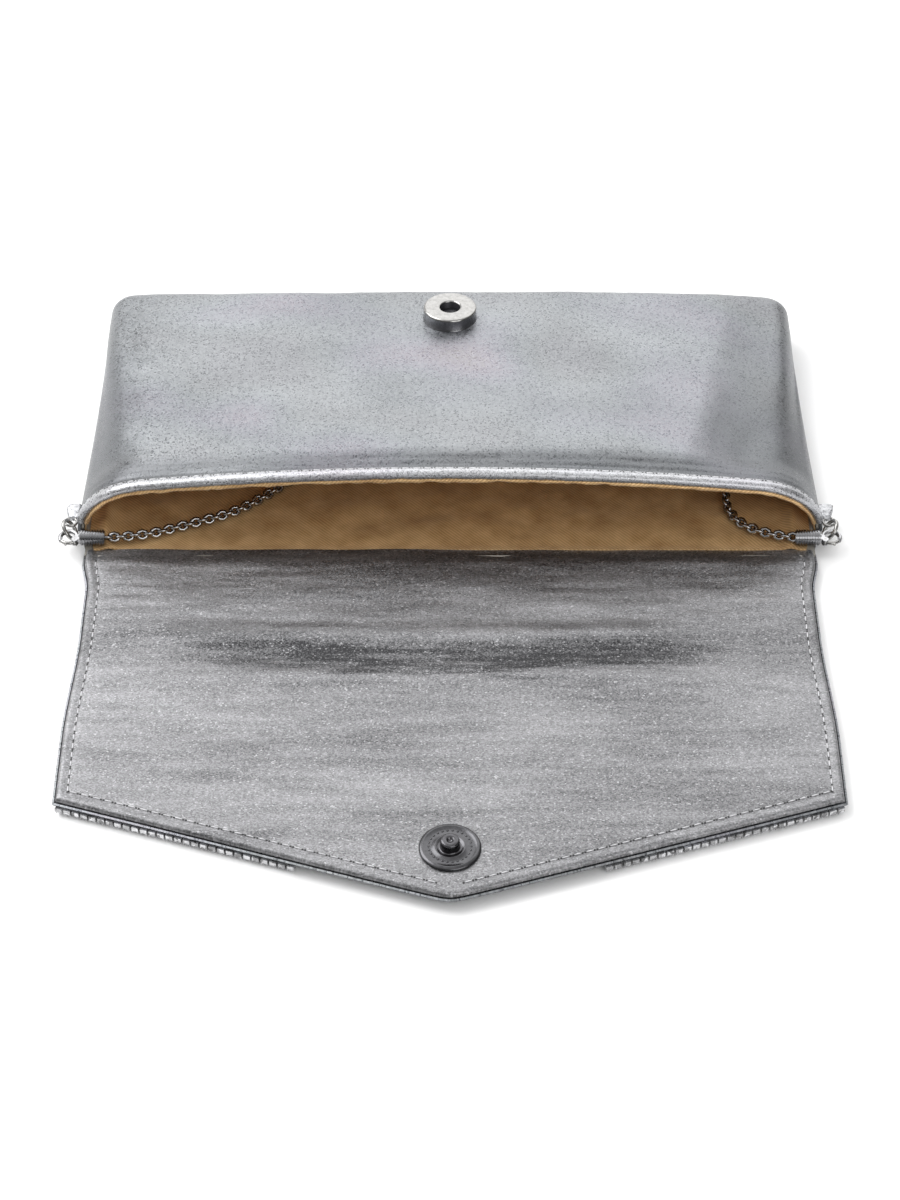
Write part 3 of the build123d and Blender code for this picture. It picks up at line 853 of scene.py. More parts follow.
@dataclass
class StuffedBody:
    """The stuffed body: outer fabric, stiffener and gold linings, in millimetres.

    A facet starts at its fold, measured from the middle at the closed end, and its lean is how much
    nearer to the middle the fold comes at the mouth. The tapers are the cloth's share of its flat size.
    """

    form: BagForm = FORM
    seam: float = 0.052
    girth: float = 215.0
    walk: float = 104.0
    columns: int = 170
    right_fold: float = 80.0
    right_lean: float = 21.0
    left_fold: float = 83.0
    left_lean: float = 4.0
    facet_depth: float = 3.4
    back_rounding: float = 3.5
    back_thickness: float = 0.6
    fabric: float = 0.75
    board_depth: float = 0.95
    board: float = 0.6
    lining_depth: float = 1.8
    lining: float = 0.4
    lining_folds: float = 1.6
    panel_taper: float = 0.95
    gusset_taper: float = 0.66
    back_flat: tuple[float, float] = (186.0, 93.0)
    floor_flat: tuple[float, float] = (180.0, 89.0)

    def facet(self, past: float, slope: float) -> float:
        """How deep a facet of the panel lies, past the fold line where it begins.

        Args:
            past: distance past the fold line, in millimetres.
            slope: how steeply it sets off.

        Returns:
            Its depth, which levels out at the facets' depth.
        """
        ramp = slope * (past + math.hypot(past, 2.2)) / 2
        return self.facet_depth * (1 - math.exp(-ramp / self.facet_depth))

    def dent(self, share: float, down: float) -> float:
        """How far the panel stands above its plain form, in millimetres.

        Args:
            share: 0 to 1 from the left foot to the right.
            down: 0 to 1 from the mouth to the closed end.

        Returns:
            The height, below zero in a dent.
        """
        x, y = (share - 0.5) * self.girth, down * self.walk
        off_edge = smooth(0.02, 0.14, down) * smooth(0.0, 0.06, min(share, 1 - share))
        off_edge *= 1 - smooth(0.80, 0.95, down)
        lift = 0.40 * wander(x / 38, y / 30, 2.0) + 0.10 * wander(x / 9, y / 12, 5.0)
        right = x - self.right_fold + self.right_lean * (1 - down)
        left = -x - self.left_fold + self.left_lean * (1 - down)
        lift -= (self.facet(right, 0.36) + self.facet(left, 0.26)) * (1 - smooth(0.6, 0.95, down))
        lift -= 1.3 * bump(x, 96, 5) * bump(down, 0.5, 0.2)
        lift -= 0.8 * bump(right, 16, 5) * bump(down, 0.16, 0.10)
        roll = smooth(3.0, 11.0, y) * (1 - smooth(14.0, 48.0, y)) * smooth(0.02, 0.10, min(share, 1 - share))
        puckers = 0.16 * wander(x / 15, y / 2.0, 14.0) * bump(y, 7.5, 3.5)
        return lift * off_edge + 1.1 * roll + puckers - 0.5 * bump(y, 3.9, 0.7) - 0.2 * bump(y, 6.2, 0.6)

    def surface(self, inset: float, folds: float = 0.0) -> Callable[[float, float], Vector]:
        """The surface of one layer.

        Args:
            inset: its depth below the outside.
            folds: height of the layer's own soft folds.

        Returns:
            A function from share and down to a point.
        """
        def place(share: float, down: float) -> Vector:
            """One point of the layer."""
            fold = folds * smooth(0.02, 0.2, down) * (0.5 + wander(share * 26, down * 2.2, 9.0))
            point = self.form.shell(share, down, inset + max(fold, 0.0))
            upper = smooth(0.25, 0.75, point.z / MM / self.form.crest(down, inset)[1])
            point.z += self.dent(share, down) * upper * MM
            return point

        return place

    def build(self) -> None:
        """Makes the body's cloth."""
        middle = np.linspace(self.seam, 1 - self.seam, self.columns)
        left, right = np.linspace(0, self.seam, 20), np.linspace(1 - self.seam, 1, 20)
        outer = ("panel", Slot.SILVER, 0.0, self.fabric, 0.0)
        inner = ("gold", Slot.GOLD, self.lining_depth, self.lining, self.lining_folds)
        self.layer("front_fabric", "front_panel", middle, *outer)
        self.layer("gusset_fabric_left", "gusset_left", left, *outer)
        self.layer("gusset_fabric_right", "gusset_right", right, *outer)
        self.layer("front_stiffener", "front_board", np.linspace(0.004, 0.996, 150),
                   "board", Slot.BOARD, self.board_depth, self.board, 0.0)
        self.layer("front_lining_cloth", "front_lining", middle, *inner)
        self.layer("gusset_lining_cloth_left", "gusset_lining_left", left, *inner)
        self.layer("gusset_lining_cloth_right", "gusset_lining_right", right, *inner)
        self.back()
        self.floor_lining()

    def layer(self, name: str, node: str, span: np.ndarray, finish: str, slot: Slot, inset: float,
              thickness: float, folds: float) -> None:
        """One layer of the front or a gusset.

        Args:
            name: the piece's name.
            node: the CAD node that it replaces.
            span: its shares across the arch.
            finish: the finish's name.
            slot: the record's slot.
            inset: depth of its outer face.
            thickness: its thickness.
            folds: height of its own folds.
        """
        rows = np.concatenate([np.linspace(0, 0.08, 12), np.linspace(0.09, 0.74, 46),
                               np.linspace(0.75, 1, 34)])
        piece = cloth_grid(name, span, rows, self.surface(inset, folds), finish,
                           lambda share, down: (share * self.girth, down * self.walk))
        thicken(piece, thickness)
        if finish != "board":
            width = (span[-1] - span[0]) * self.girth
            taper = self.panel_taper if node.startswith("front") else self.gusset_taper
            width * MM
            taper * width * self.walk * MM**2
        settle(piece, Body.BAG, slot, node)

    @staticmethod
    def back_cloth(u: float, v: float) -> tuple[float, float]:
        """Cloth coordinates of the back's layers, in millimetres."""
        return u * 93, v * 92

    def outline(self, y: float) -> float:
        """Half width of the back panel at y."""
        form = self.form
        rounding = form.corner_rounding + self.back_rounding
        past = max(0.0, y - (form.length - rounding))
        wide = form.half(y) - rounding + math.sqrt(max(0.0, rounding**2 - past**2))
        return wide if y > form.corner_y else min(wide, 91.0 + 0.25 * max(0.0, y - 1))

    def back(self) -> None:
        """The back panel: flat on the table, its edges turned up to meet the front."""
        def place(u: float, v: float) -> Vector:
            """One point, u across from -1 to 1 and v from the hinge to the closed end."""
            y = -1.0 + v * (self.form.length + 0.6)
            edge = max(smooth(0.965, 1.0, abs(u)), smooth(0.955, 1.0, v))
            lift = 0.03 + 0.9 * edge**2 + 0.12 * (1 - edge) * abs(wander(u * 3, v * 2, 4.0))
            return at(u * (self.outline(y) - 0.3), y, lift)

        across = np.sin(np.linspace(-math.pi / 2, math.pi / 2, 121))
        along = np.concatenate([np.linspace(0, 0.92, 48), np.linspace(0.93, 1.0, 16)])
        piece = cloth_grid("back_fabric", across, along, place, "silver", self.back_cloth, flip=True)
        thicken(piece, self.back_thickness)
        tuple(side * MM for side in self.back_flat)
        settle(piece, Body.BAG, Slot.SILVER, "back_panel")

    def floor_lining(self) -> None:
        """The gold lining of the back panel, from the flap's seam to the closed end."""
        def place(u: float, v: float) -> Vector:
            """One point, u across from -1 to 1 and v from the flap's seam inwards."""
            y = 1.2 + v * (self.form.length - self.form.inside - 1.8)
            calm = smooth(0.02, 0.14, v) * (1 - smooth(0.86, 0.98, abs(u)))
            lift = 0.6 * wander(u * 4, v * 6, 3.0) * calm
            lift += 1.6 * bump(abs(u), 0.955, 0.02) * bump(v, 0.12, 0.12)
            return at(u * (min(self.outline(y), 92.5) - 2.3), y, 2.2 + lift + 0.35 * (1 - smooth(0, 0.02, v)))

        across = np.sin(np.linspace(-math.pi / 2, math.pi / 2, 131))
        along = np.concatenate([np.linspace(0, 0.1, 14), np.linspace(0.115, 1.0, 60)])
        piece = cloth_grid("back_lining_cloth", across, along, place, "gold", self.back_cloth)
        thicken(piece, self.lining)
        tuple(side * MM for side in self.floor_flat)
        settle(piece, Body.BAG, Slot.GOLD, "back_lining")


@dataclass
class MouthBinding:
    """Bright strip folded over the mouth's edge, its stitches and the gold edge below it, in millimetres."""

    form: BagForm = FORM
    low: float = 0.022
    silver_fold: tuple[tuple[float, float], ...] = (
        (2.35, 0.02), (2.3, 0.28), (2.1, 0.42), (1.7, 0.38), (1.3, 0.54), (0.8, 0.60), (0.3, 0.52),
        (-0.3, 0.25), (-0.65, -0.25), (-0.72, -0.8), (-0.5, -1.3), (-0.15, -1.55), (0.3, -1.6))
    gold_fold: tuple[tuple[float, float], ...] = (
        (0.2, -1.35), (-0.2, -1.5), (-0.5, -1.8), (-0.55, -2.15), (-0.3, -2.45), (0.3, -2.6), (1.2, -2.6),
        (3.5, -2.45))
    girth: float = 215.0
    run: float = 205.0
    thickness: float = 0.25
    least_width: float = 10.0
    stitch_pitch: float = 2.9
    stitch_deep: float = 1.8
    stitch_high: float = 0.36
    stitch_length: float = 1.7
    thread: float = 0.22

    def axes(self, share: float) -> tuple[Vector, Vector, Vector, Vector]:
        """The mouth's edge at a share of its length.

        Args:
            share: 0 at the left foot to 1 at the right.

        Returns:
            The point, and directions along the edge, into the bag and outwards.
        """
        edge = self.form.shell(share, 0.0)
        along = (self.form.shell(share + 0.003, 0.0) - self.form.shell(share - 0.003, 0.0)).normalized()
        inward = (self.form.shell(share, 0.04) - edge).normalized()
        return edge, along, inward, along.cross(inward).normalized()

    def build(self) -> None:
        """Makes the strip, the gold edge and the stitches."""
        shares = np.linspace(self.low, 1 - self.low, 200)
        for name, fold, finish, slot in (("mouth_binding_cloth", self.silver_fold, "binding", Slot.BINDING),
                                         ("mouth_gold_edge", self.gold_fold, "gold", Slot.GOLD)):
            piece = self.strip(name, shares, fold, finish)
            settle(piece, Body.BAG, slot, *(["mouth_binding"] if finish == "binding" else []))
        count = round(self.run / self.stitch_pitch)
        places = []
        for i in range(count):
            edge, along, inward, out = self.axes(0.045 + 0.91 * i / (count - 1))
            place = edge + inward * self.stitch_deep * MM + out * self.stitch_high * MM
            places.append(stand(place, along, out))
        stitches = stitch_row("mouth_stitches", places, self.stitch_length, self.thread)
        settle(stitches, Body.BAG, Slot.BINDING)

    def strip(self, name: str, shares: np.ndarray, fold: Sequence[tuple[float, float]],
              finish: str) -> bpy.types.Object:
        """Sweeps one fold along the mouth.

        Args:
            name: the piece's name.
            shares: stations along the mouth.
            fold: depth into the bag and height above the panel, in millimetres.
            finish: the finish's name.

        Returns:
            The strip.
        """
        runs = np.concatenate([[0], np.cumsum([math.dist(a, b) for a, b in zip(fold, fold[1:])])])

        def place(share: float, run: float) -> Vector:
            """One point of the strip."""
            deep, high = (float(np.interp(run, runs, [p[i] for p in fold])) for i in (0, 1))
            edge, _, inward, out = self.axes(share)
            pucker = 1 + 0.16 * wander(share * 60, run / 3, 7.0)
            return edge + inward * deep * MM + out * high * pucker * MM

        piece = cloth_grid(name, shares, runs, place, finish,
                           lambda share, run: (share * self.girth, run), flip=True)
        thicken(piece, self.thickness)
        max(runs[-1], self.least_width) * MM
        return piece


def stand(point: Vector, along: Vector, up: Vector) -> Matrix:
    """Matrix that puts X along a direction and Z up another, at a point.

    Args:
        point: the place, in metres.
        along: direction of X.
        up: direction of Z.

    Returns:
        The matrix.
    """
    side = up.cross(along).normalized()
    turned = Matrix((along.normalized(), side, along.cross(side).normalized())).transposed().to_4x4()
    return Matrix.Translation(point) @ turned


def stitch_row(name: str, places: Sequence[Matrix], length: float = 1.9,
               thread: float = 0.3) -> bpy.types.Object:
    """A row of stitches, each a thread that dips into a needle hole at both ends; each hole is a small dark
    blob of painted shade.

    Args:
        name: the piece's name.
        places: where each stitch lies, X along the row.
        length: millimetres of one stitch.
        thread: its thickness.

    Returns:
        The row.
    """
    bm = bmesh.new()
    bmesh.ops.create_uvsphere(bm, u_segments=6, v_segments=5, radius=0.5)
    bmesh.ops.scale(bm, verts=bm.verts, vec=(thread * 1.3 * MM, thread * MM, length * MM))
    bmesh.ops.rotate(bm, verts=bm.verts, matrix=Matrix.Rotation(math.pi / 2, 3, "Y"))
    # painted shade: a flattened dark blob at each end of the stitch stands for the shade inside its needle
    # hole
    hole = bmesh.new()
    for end in (-0.5, 0.5):
        bmesh.ops.create_uvsphere(hole, u_segments=6, v_segments=3, radius=0.3 * MM,
                                  matrix=Matrix.Translation((end * length * MM * 1.18, 0, -0.05 * MM)))
    bmesh.ops.scale(hole, verts=hole.verts, vec=(1, 1, 0.45))
    stitch = join([(bm, Matrix.Identity(4), 0), (hole, Matrix.Identity(4), 1)])
    return to_object(name, repeat(stitch, places), ["thread", "needle"])


# ---------------------------------------------------------------- the flap


class Zone(Enum):
    """The two lengths of the flap's cloth, one over each fold."""

    HINGE = ("hinge", Body.BAG, Body.SPINE, -2.0, 6.0)
    FRONT = ("front", Body.SPINE, Body.FLAP, 22.5, 34.5)

    def bend(self, piece: bpy.types.Object) -> bpy.types.Object:
        """Bakes the piece's place into its mesh."""
        _, first, second, start, end = self.value
        at(0, -start, 3)
        at(0, -end, 3)
        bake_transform(piece)
        return piece


@dataclass
class Flap:
    """The flap: lame lining, outer fabric, their sewn edge and the topstitching, in millimetres."""

    half: float = 91.0
    corner: float = 85.5
    tip: float = 115.7
    split: float = 14.0
    start: float = -1.2
    fold: float = 28.55
    crease: float = 38.3
    edge_turn: float = 0.8
    stitch_inset: float = 2.7
    stitch_pitch: float = 2.9
    first_stitch: float = 3.5
    thickness: float = 0.45

    @property
    def slope(self) -> float:
        """How fast the V falls away from its tip."""
        return (self.tip - self.corner) / self.half

    def reach(self, x: float) -> float:
        """Distance from the hinge to the V's edge at x."""
        return self.tip + 0.6 - self.slope * math.hypot(x, 2.0)

    def from_edge(self, x: float, s: float) -> float:
        """Distance from the sewn edge, in millimetres."""
        return min(self.half - abs(x), (self.reach(x) - s) / math.hypot(1, self.slope))

    def lining_top(self, s: float) -> float:
        """Height of the lining's upper face before its creases."""
        return 2.25 + 0.95 * smooth(-1.5, 5.0, s) + 0.8 * smooth(2.0, self.fold + 4, s)

    def outer_bottom(self, s: float) -> float:
        """Height of the outer fabric's lower face."""
        return 0.05 + 1.2 * smooth(-1.0, 6.0, s) + 0.85 * smooth(4.0, self.fold, s)

    def relief(self, x: float, s: float) -> float:
        """Creases of the lining, in millimetres above its plain height."""
        across = 1 - smooth(48, 84, abs(x + 4))
        drift = 0.8 * wander(x / 50, 1.0, 6.0)
        ridges = 0.95 * bump(s, self.crease - 6.5 + drift, 4.0)
        ridges += 0.85 * bump(s, self.crease + 8.0 + drift, 5.0)
        lift = ridges * across + 0.15
        lift += 0.34 * wander(x / 55, s / 15, 1.0) + 0.13 * wander(x / 22, s / 3.4, 8.0, 4)
        for line in (-3.0, -0.8, 1.4):
            lift -= 0.22 * bump(s, self.crease + line + (x + 60) * 0.02, 0.55) * bump(x, -58, 14)
        lift -= 0.35 * bump(x, -88, 3.0) * bump(s, 14.5, 2.5)
        near = self.from_edge(x, s)
        lift *= smooth(1.0, 9.0, near)
        lift -= 0.16 * bump(near, self.stitch_inset, 0.7) - 0.12 * bump(near, 1.3, 0.6)
        return lift

    def edge_drop(self, x: float, s: float, room: float) -> float:
        """How far the cloth turns down at the sewn edge."""
        near = min(1.0, max(0.0, self.from_edge(x, s)) / self.edge_turn)
        return room * (1 - math.sqrt(1 - (1 - near) ** 2))

    def waist(self, s: float) -> float:
        """How the flap draws in a little between the hinge and its widest part."""
        return 1 - 0.018 * smooth(3, 14, s) * (1 - smooth(30, 66, s))

    def lining(self, x: float, s: float) -> Vector:
        """A point of the lame lining."""
        z = self.lining_top(s) + self.relief(x, s) - self.edge_drop(x, s, 0.9)
        return at(x * 0.9955 * self.waist(s), -s * (1 - 0.0045 * smooth(40, 80, s)), z)

    def outside(self, x: float, s: float) -> Vector:
        """A point of the outer fabric's lower face."""
        soft = 0.12 * wander(x / 30, s / 26, 12.0) * smooth(2, 10, self.from_edge(x, s))
        z = self.outer_bottom(s) + soft + self.edge_drop(x, s, 0.75)
        return at(x * 1.003 * self.waist(s), -s * (1 + 0.003 * smooth(40, 80, s)), z)

    def build(self) -> None:
        """Makes the cloth in two lengths, then the stitches."""
        edge = np.array([0, 0.15, 0.4, 0.8, 1.3, 2.0, 2.7, 3.4])
        across = np.concatenate([-self.half + edge, np.linspace(-87, 87, 129), np.sort(self.half - edge)])
        back = np.linspace(self.start, self.split, 26)
        front = np.concatenate([np.linspace(0, 0.5, 46), np.linspace(0.51, 0.955, 34),
                                1 - np.sort(edge)[::-1] / 95])
        for zone, rows in ((Zone.HINGE, back), (Zone.FRONT, front)):
            for name, face, finish, slot, nodes in (
                    ("lining", self.lining, "lame", Slot.LAME,
                     ["flap_spine_lining"] if zone is Zone.HINGE else ["flap_lining"]),
                    ("fabric", self.outside, "silver", Slot.SILVER,
                     ["flap_spine_outer"] if zone is Zone.HINGE else ["flap_outer"])):
                self.cloth(zone, name, across, rows, face, finish, slot, nodes)
            settle_bent(stitch_row(f"flap_stitches_{zone.value[0]}", self.stitches(zone)), zone, Slot.LAME)

    def cloth(self, zone: Zone, name: str, across: np.ndarray, rows: np.ndarray,
              face: Callable[[float, float], Vector], finish: str, slot: Slot, nodes: list[str]) -> None:
        """One length of one layer.

        Args:
            zone: which length.
            name: the layer's name.
            across: its columns, in millimetres.
            rows: its rows: distances from the hinge, or shares of the way to the V's edge.
            face: gives the layer's points.
            finish: the finish's name.
            slot: the record's slot.
            nodes: CAD nodes that it replaces.
        """
        def down(x: float, v: float) -> float:
            """Distance from the hinge at one row."""
            return v if zone is Zone.HINGE else self.split + v * (self.reach(x) - self.split)

        piece = cloth_grid(f"flap_{name}_{zone.value[0]}", across, rows, lambda x, v: face(x, down(x, v)),
                           finish, lambda x, v: (x, down(x, v)), flip=face == self.lining)
        thicken(piece, self.thickness)
        wide = 2 * self.half
        if zone is Zone.HINGE:
            wide * MM
        else:
            area = wide * (self.corner - self.split) + self.half * (self.tip - self.corner)
            wide * MM
            area * 1e-6
        settle_bent(piece, zone, slot, *nodes)

    def stitches(self, zone: Zone) -> list[Matrix]:
        """Places of the stitches in one length of the flap.

        Args:
            zone: which length.

        Returns:
            A matrix for each stitch.
        """
        inset = self.stitch_inset
        side_x = self.half - inset
        v_top = self.tip - inset * math.hypot(1, self.slope)
        places = []
        for sign in (-1, 1):
            corner = v_top - self.slope * side_x
            line = [(side_x, s) for s in np.arange(self.first_stitch, corner - 0.8, self.stitch_pitch)]
            steps = int(math.hypot(side_x, self.slope * side_x) / self.stitch_pitch)
            for i in range(steps):
                x = side_x * (1 - i / steps)
                line.append((x, v_top - self.slope * x))
            for (x, s), (next_x, next_s) in zip(line, line[1:]):
                if (s < self.split) != (zone is Zone.HINGE):
                    continue
                mid_x, mid_s = sign * (x + next_x) / 2, (s + next_s) / 2
                along = Vector((sign * (next_x - x), -(next_s - s), 0))
                place = self.lining(mid_x, mid_s) + Vector((0, 0, 0.03 * MM))
                places.append(stand(place, along, Vector((0, 0, 1))))
        return places


def settle_bent(piece: bpy.types.Object, zone: Zone, slot: Slot, *nodes: str) -> bpy.types.Object:
    """Bakes a piece's place into its mesh and hides the CAD nodes that it stands for."""
    zone.bend(piece)
    if nodes:
        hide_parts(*nodes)
    log.info("piece %s over the %s fold", piece.name, zone.value[0])
    return piece


# ---------------------------------------------------------------- snap and trim


@dataclass
class SnapSocket:
    """Female half of the magnetic snap, on the front panel."""

    y: float = 74.4
    radius: float = 7.0
    height: float = 3.5
    hole: float = 2.6

    def build(self) -> None:
        """Makes the cap and the magnet seen down its hole, with painted shade on the cap's side wall and
        inside its hole.
        """
        r, h, hole = self.radius, self.height, self.hole
        lean = math.atan((FORM.mouth_top - FORM.end_top) / (FORM.length - FORM.centre_y))
        place = Matrix.Translation(at(0, self.y, FORM.top(self.y))) @ Matrix.Rotation(-lean, 4, "X")
        cap = lathe([(0.5, -0.9), (r - 0.5, -0.9), (r - 0.1, -0.2), (r + 0.05, 0), (r, 0.15),
                     (r - 0.12, 0.35), (r - 0.12, h - 0.75), (r - 0.05, h - 0.55), (r - 0.1, h - 0.3),
                     (r - 0.3, h - 0.1),
                     (r - 0.6, h), (hole + 0.55, h), (hole + 0.2, h - 0.08), (hole, h - 0.3), (hole, 1.2),
                     (hole - 0.2, 1.0), (0.5, 0.95)], 96)
        # painted shade: below the top, the cap's outer wall takes the darker nickel and the inside of its
        # hole the dark magnet iron, though the cap is one plating
        for facet in cap.faces:
            spot = facet.calc_center_median() / MM
            if spot.z < h - 0.5:
                facet.material_index = 1 if spot.xy.length > hole + 0.3 else 2
        well = lathe([(0, 0.6), (hole - 0.05, 0.6), (hole - 0.05, 1.3), (hole - 0.5, 1.35), (1.2, 1.15),
                      (0.9, 0.9), (0, 0.9)], 48)
        whole = join([(cap, place, None), (well, place, 2)])
        piece = to_object("snap_socket", whole, ["nickel", "barrel_and_snap_wall_shade", "magnet"])
        settle(piece, Body.BAG, Slot.NICKEL, "snap_socket_cap", "snap_magnet", "snap_socket_core")


@dataclass
class SnapStud:
    """Male half of the snap, on the flap's lining: a bevelled disc with a ring of dots round its stud."""

    y: float = -101.2
    base: float = 4.0
    radius: float = 7.1
    stud: float = 2.2
    rise: float = 3.0
    dots: int = 26
    dot_ring: float = 4.85

    def build(self) -> None:
        """Makes the disc, its dots and the stud."""
        place = Matrix.Translation(at(0, self.y, self.base))
        r, k = self.radius, self.stud
        disc = lathe([(0, -0.1), (r - 0.2, -0.1), (r, 0.1), (r, 0.55), (r - 0.15, 0.75), (r - 0.75, 0.98),
                      (r - 1.0, 0.95), (r - 1.15, 0.86), (k + 1.55, 0.86), (k + 1.4, 0.98), (k + 1.1, 1.0),
                      (k + 0.75, 0.75), (k + 0.35, 0.62), (k + 0.05, 0.7), (k, 1.0), (k, 2.55),
                      (k - 0.12, 2.85), (k - 0.4, self.rise), (0.95, self.rise), (0.75, 2.9), (0.6, 2.6),
                      (0.25, 2.45), (0, 2.4)], 96)
        bead = bmesh.new()
        bmesh.ops.create_uvsphere(bead, u_segments=8, v_segments=4, radius=0.24 * MM)
        bmesh.ops.scale(bead, verts=bead.verts, vec=(1, 1.5, 0.55))
        out = Matrix.Translation((self.dot_ring * MM, 0, 0.88 * MM))
        ring = [Matrix.Rotation(i * math.tau / self.dots, 4, "Z") @ out for i in range(self.dots)]
        whole = join([(disc, place, 0), (repeat(bead, ring), place, 0)])
        settle(to_object("snap_stud_face", whole, ["gunmetal"]), Body.FLAP, Slot.GUNMETAL,
               "snap_stud_disc", "snap_stud")


@dataclass
class StoneTrim:
    """One row of crystals in pronged settings along each side of the V."""

    flap: Flap = field(default_factory=Flap)
    count: int = 28
    pitch: float = 2.1
    first: float = 1.6
    inset: float = -0.35
    setting: float = 1.62
    setting_height: float = 1.1
    stone: float = 0.84

    def spots(self, side: Side) -> list[Matrix]:
        """Places of the settings along one side, on the outer fabric's face."""
        length = math.hypot(self.flap.half, self.flap.tip - self.flap.corner)
        run = Vector((-self.flap.half, -(self.flap.tip - self.flap.corner), 0)) / length
        inward = Vector((run.y, -run.x, 0)) * self.inset
        corner = Vector((self.flap.half, -self.flap.corner, 0))
        places = []
        for n in range(self.count):
            spot = corner + inward + run * (self.first + self.pitch * n)
            turn = math.atan2(run.y, run.x)
            if side is Side.LEFT:
                spot.x, turn = -spot.x, math.pi - turn
            places.append(Matrix.Translation(at(spot.x, spot.y, 2.1)) @ Matrix.Rotation(turn, 4, "Z"))
        return places

    def cup(self) -> bmesh.types.BMesh:
        """One setting: an open box with a rim and a prong at each corner, hanging down from z 0."""
        size, high = self.setting * MM, self.setting_height * MM
        bm = bmesh.new()
        bmesh.ops.create_cube(bm, size=1)
        bmesh.ops.scale(bm, verts=bm.verts, vec=(size, size, high))
        bmesh.ops.translate(bm, verts=bm.verts, vec=(0, 0, -high / 2))
        low = [f for f in bm.faces if f.normal.z < -0.5]
        bmesh.ops.inset_region(bm, faces=low, thickness=0.22 * MM)
        bmesh.ops.translate(bm, verts=list({v for f in low for v in f.verts}), vec=(0, 0, 0.45 * MM))
        bmesh.ops.recalc_face_normals(bm, faces=bm.faces)
        parts = [(bm, Matrix.Identity(4), 0)]
        for sx in (-1, 1):
            for sy in (-1, 1):
                prong = bmesh.new()
                bmesh.ops.create_cone(prong, cap_ends=True, segments=5, radius1=0.1 * MM, radius2=0.26 * MM,
                                      depth=0.75 * MM)
                foot = (sx * 0.38 * size, sy * 0.38 * size, -high - 0.2 * MM)
                parts.append((prong, Matrix.Translation(foot), 0))
        return join(parts)

    def crystal(self) -> bmesh.types.BMesh:
        """One stone: an eight-sided crown with a flat table facing down."""
        bm = bmesh.new()
        bmesh.ops.create_cone(bm, cap_ends=True, segments=8, radius1=0.5 * self.stone * MM,
                              radius2=self.stone * MM, depth=0.85 * MM,
                              matrix=Matrix.Translation((0, 0, -1.52 * MM)))
        return bm

    def build(self) -> None:
        """Makes both rows."""
        for side in Side:
            spots = self.spots(side)
            for name, mesh, finish, slot, node in (
                    ("stone_settings", self.cup(), "settings", Slot.SETTINGS, "trim_settings"),
                    ("stone_row", self.crystal(), "stones", Slot.STONES, "trim_stones")):
                piece = to_object(f"{name}_{side.word}", repeat(mesh, spots), [finish], flat=True)
                settle(piece, Body.FLAP, slot, f"{node}_{side.word}")


# ---------------------------------------------------------------- strap


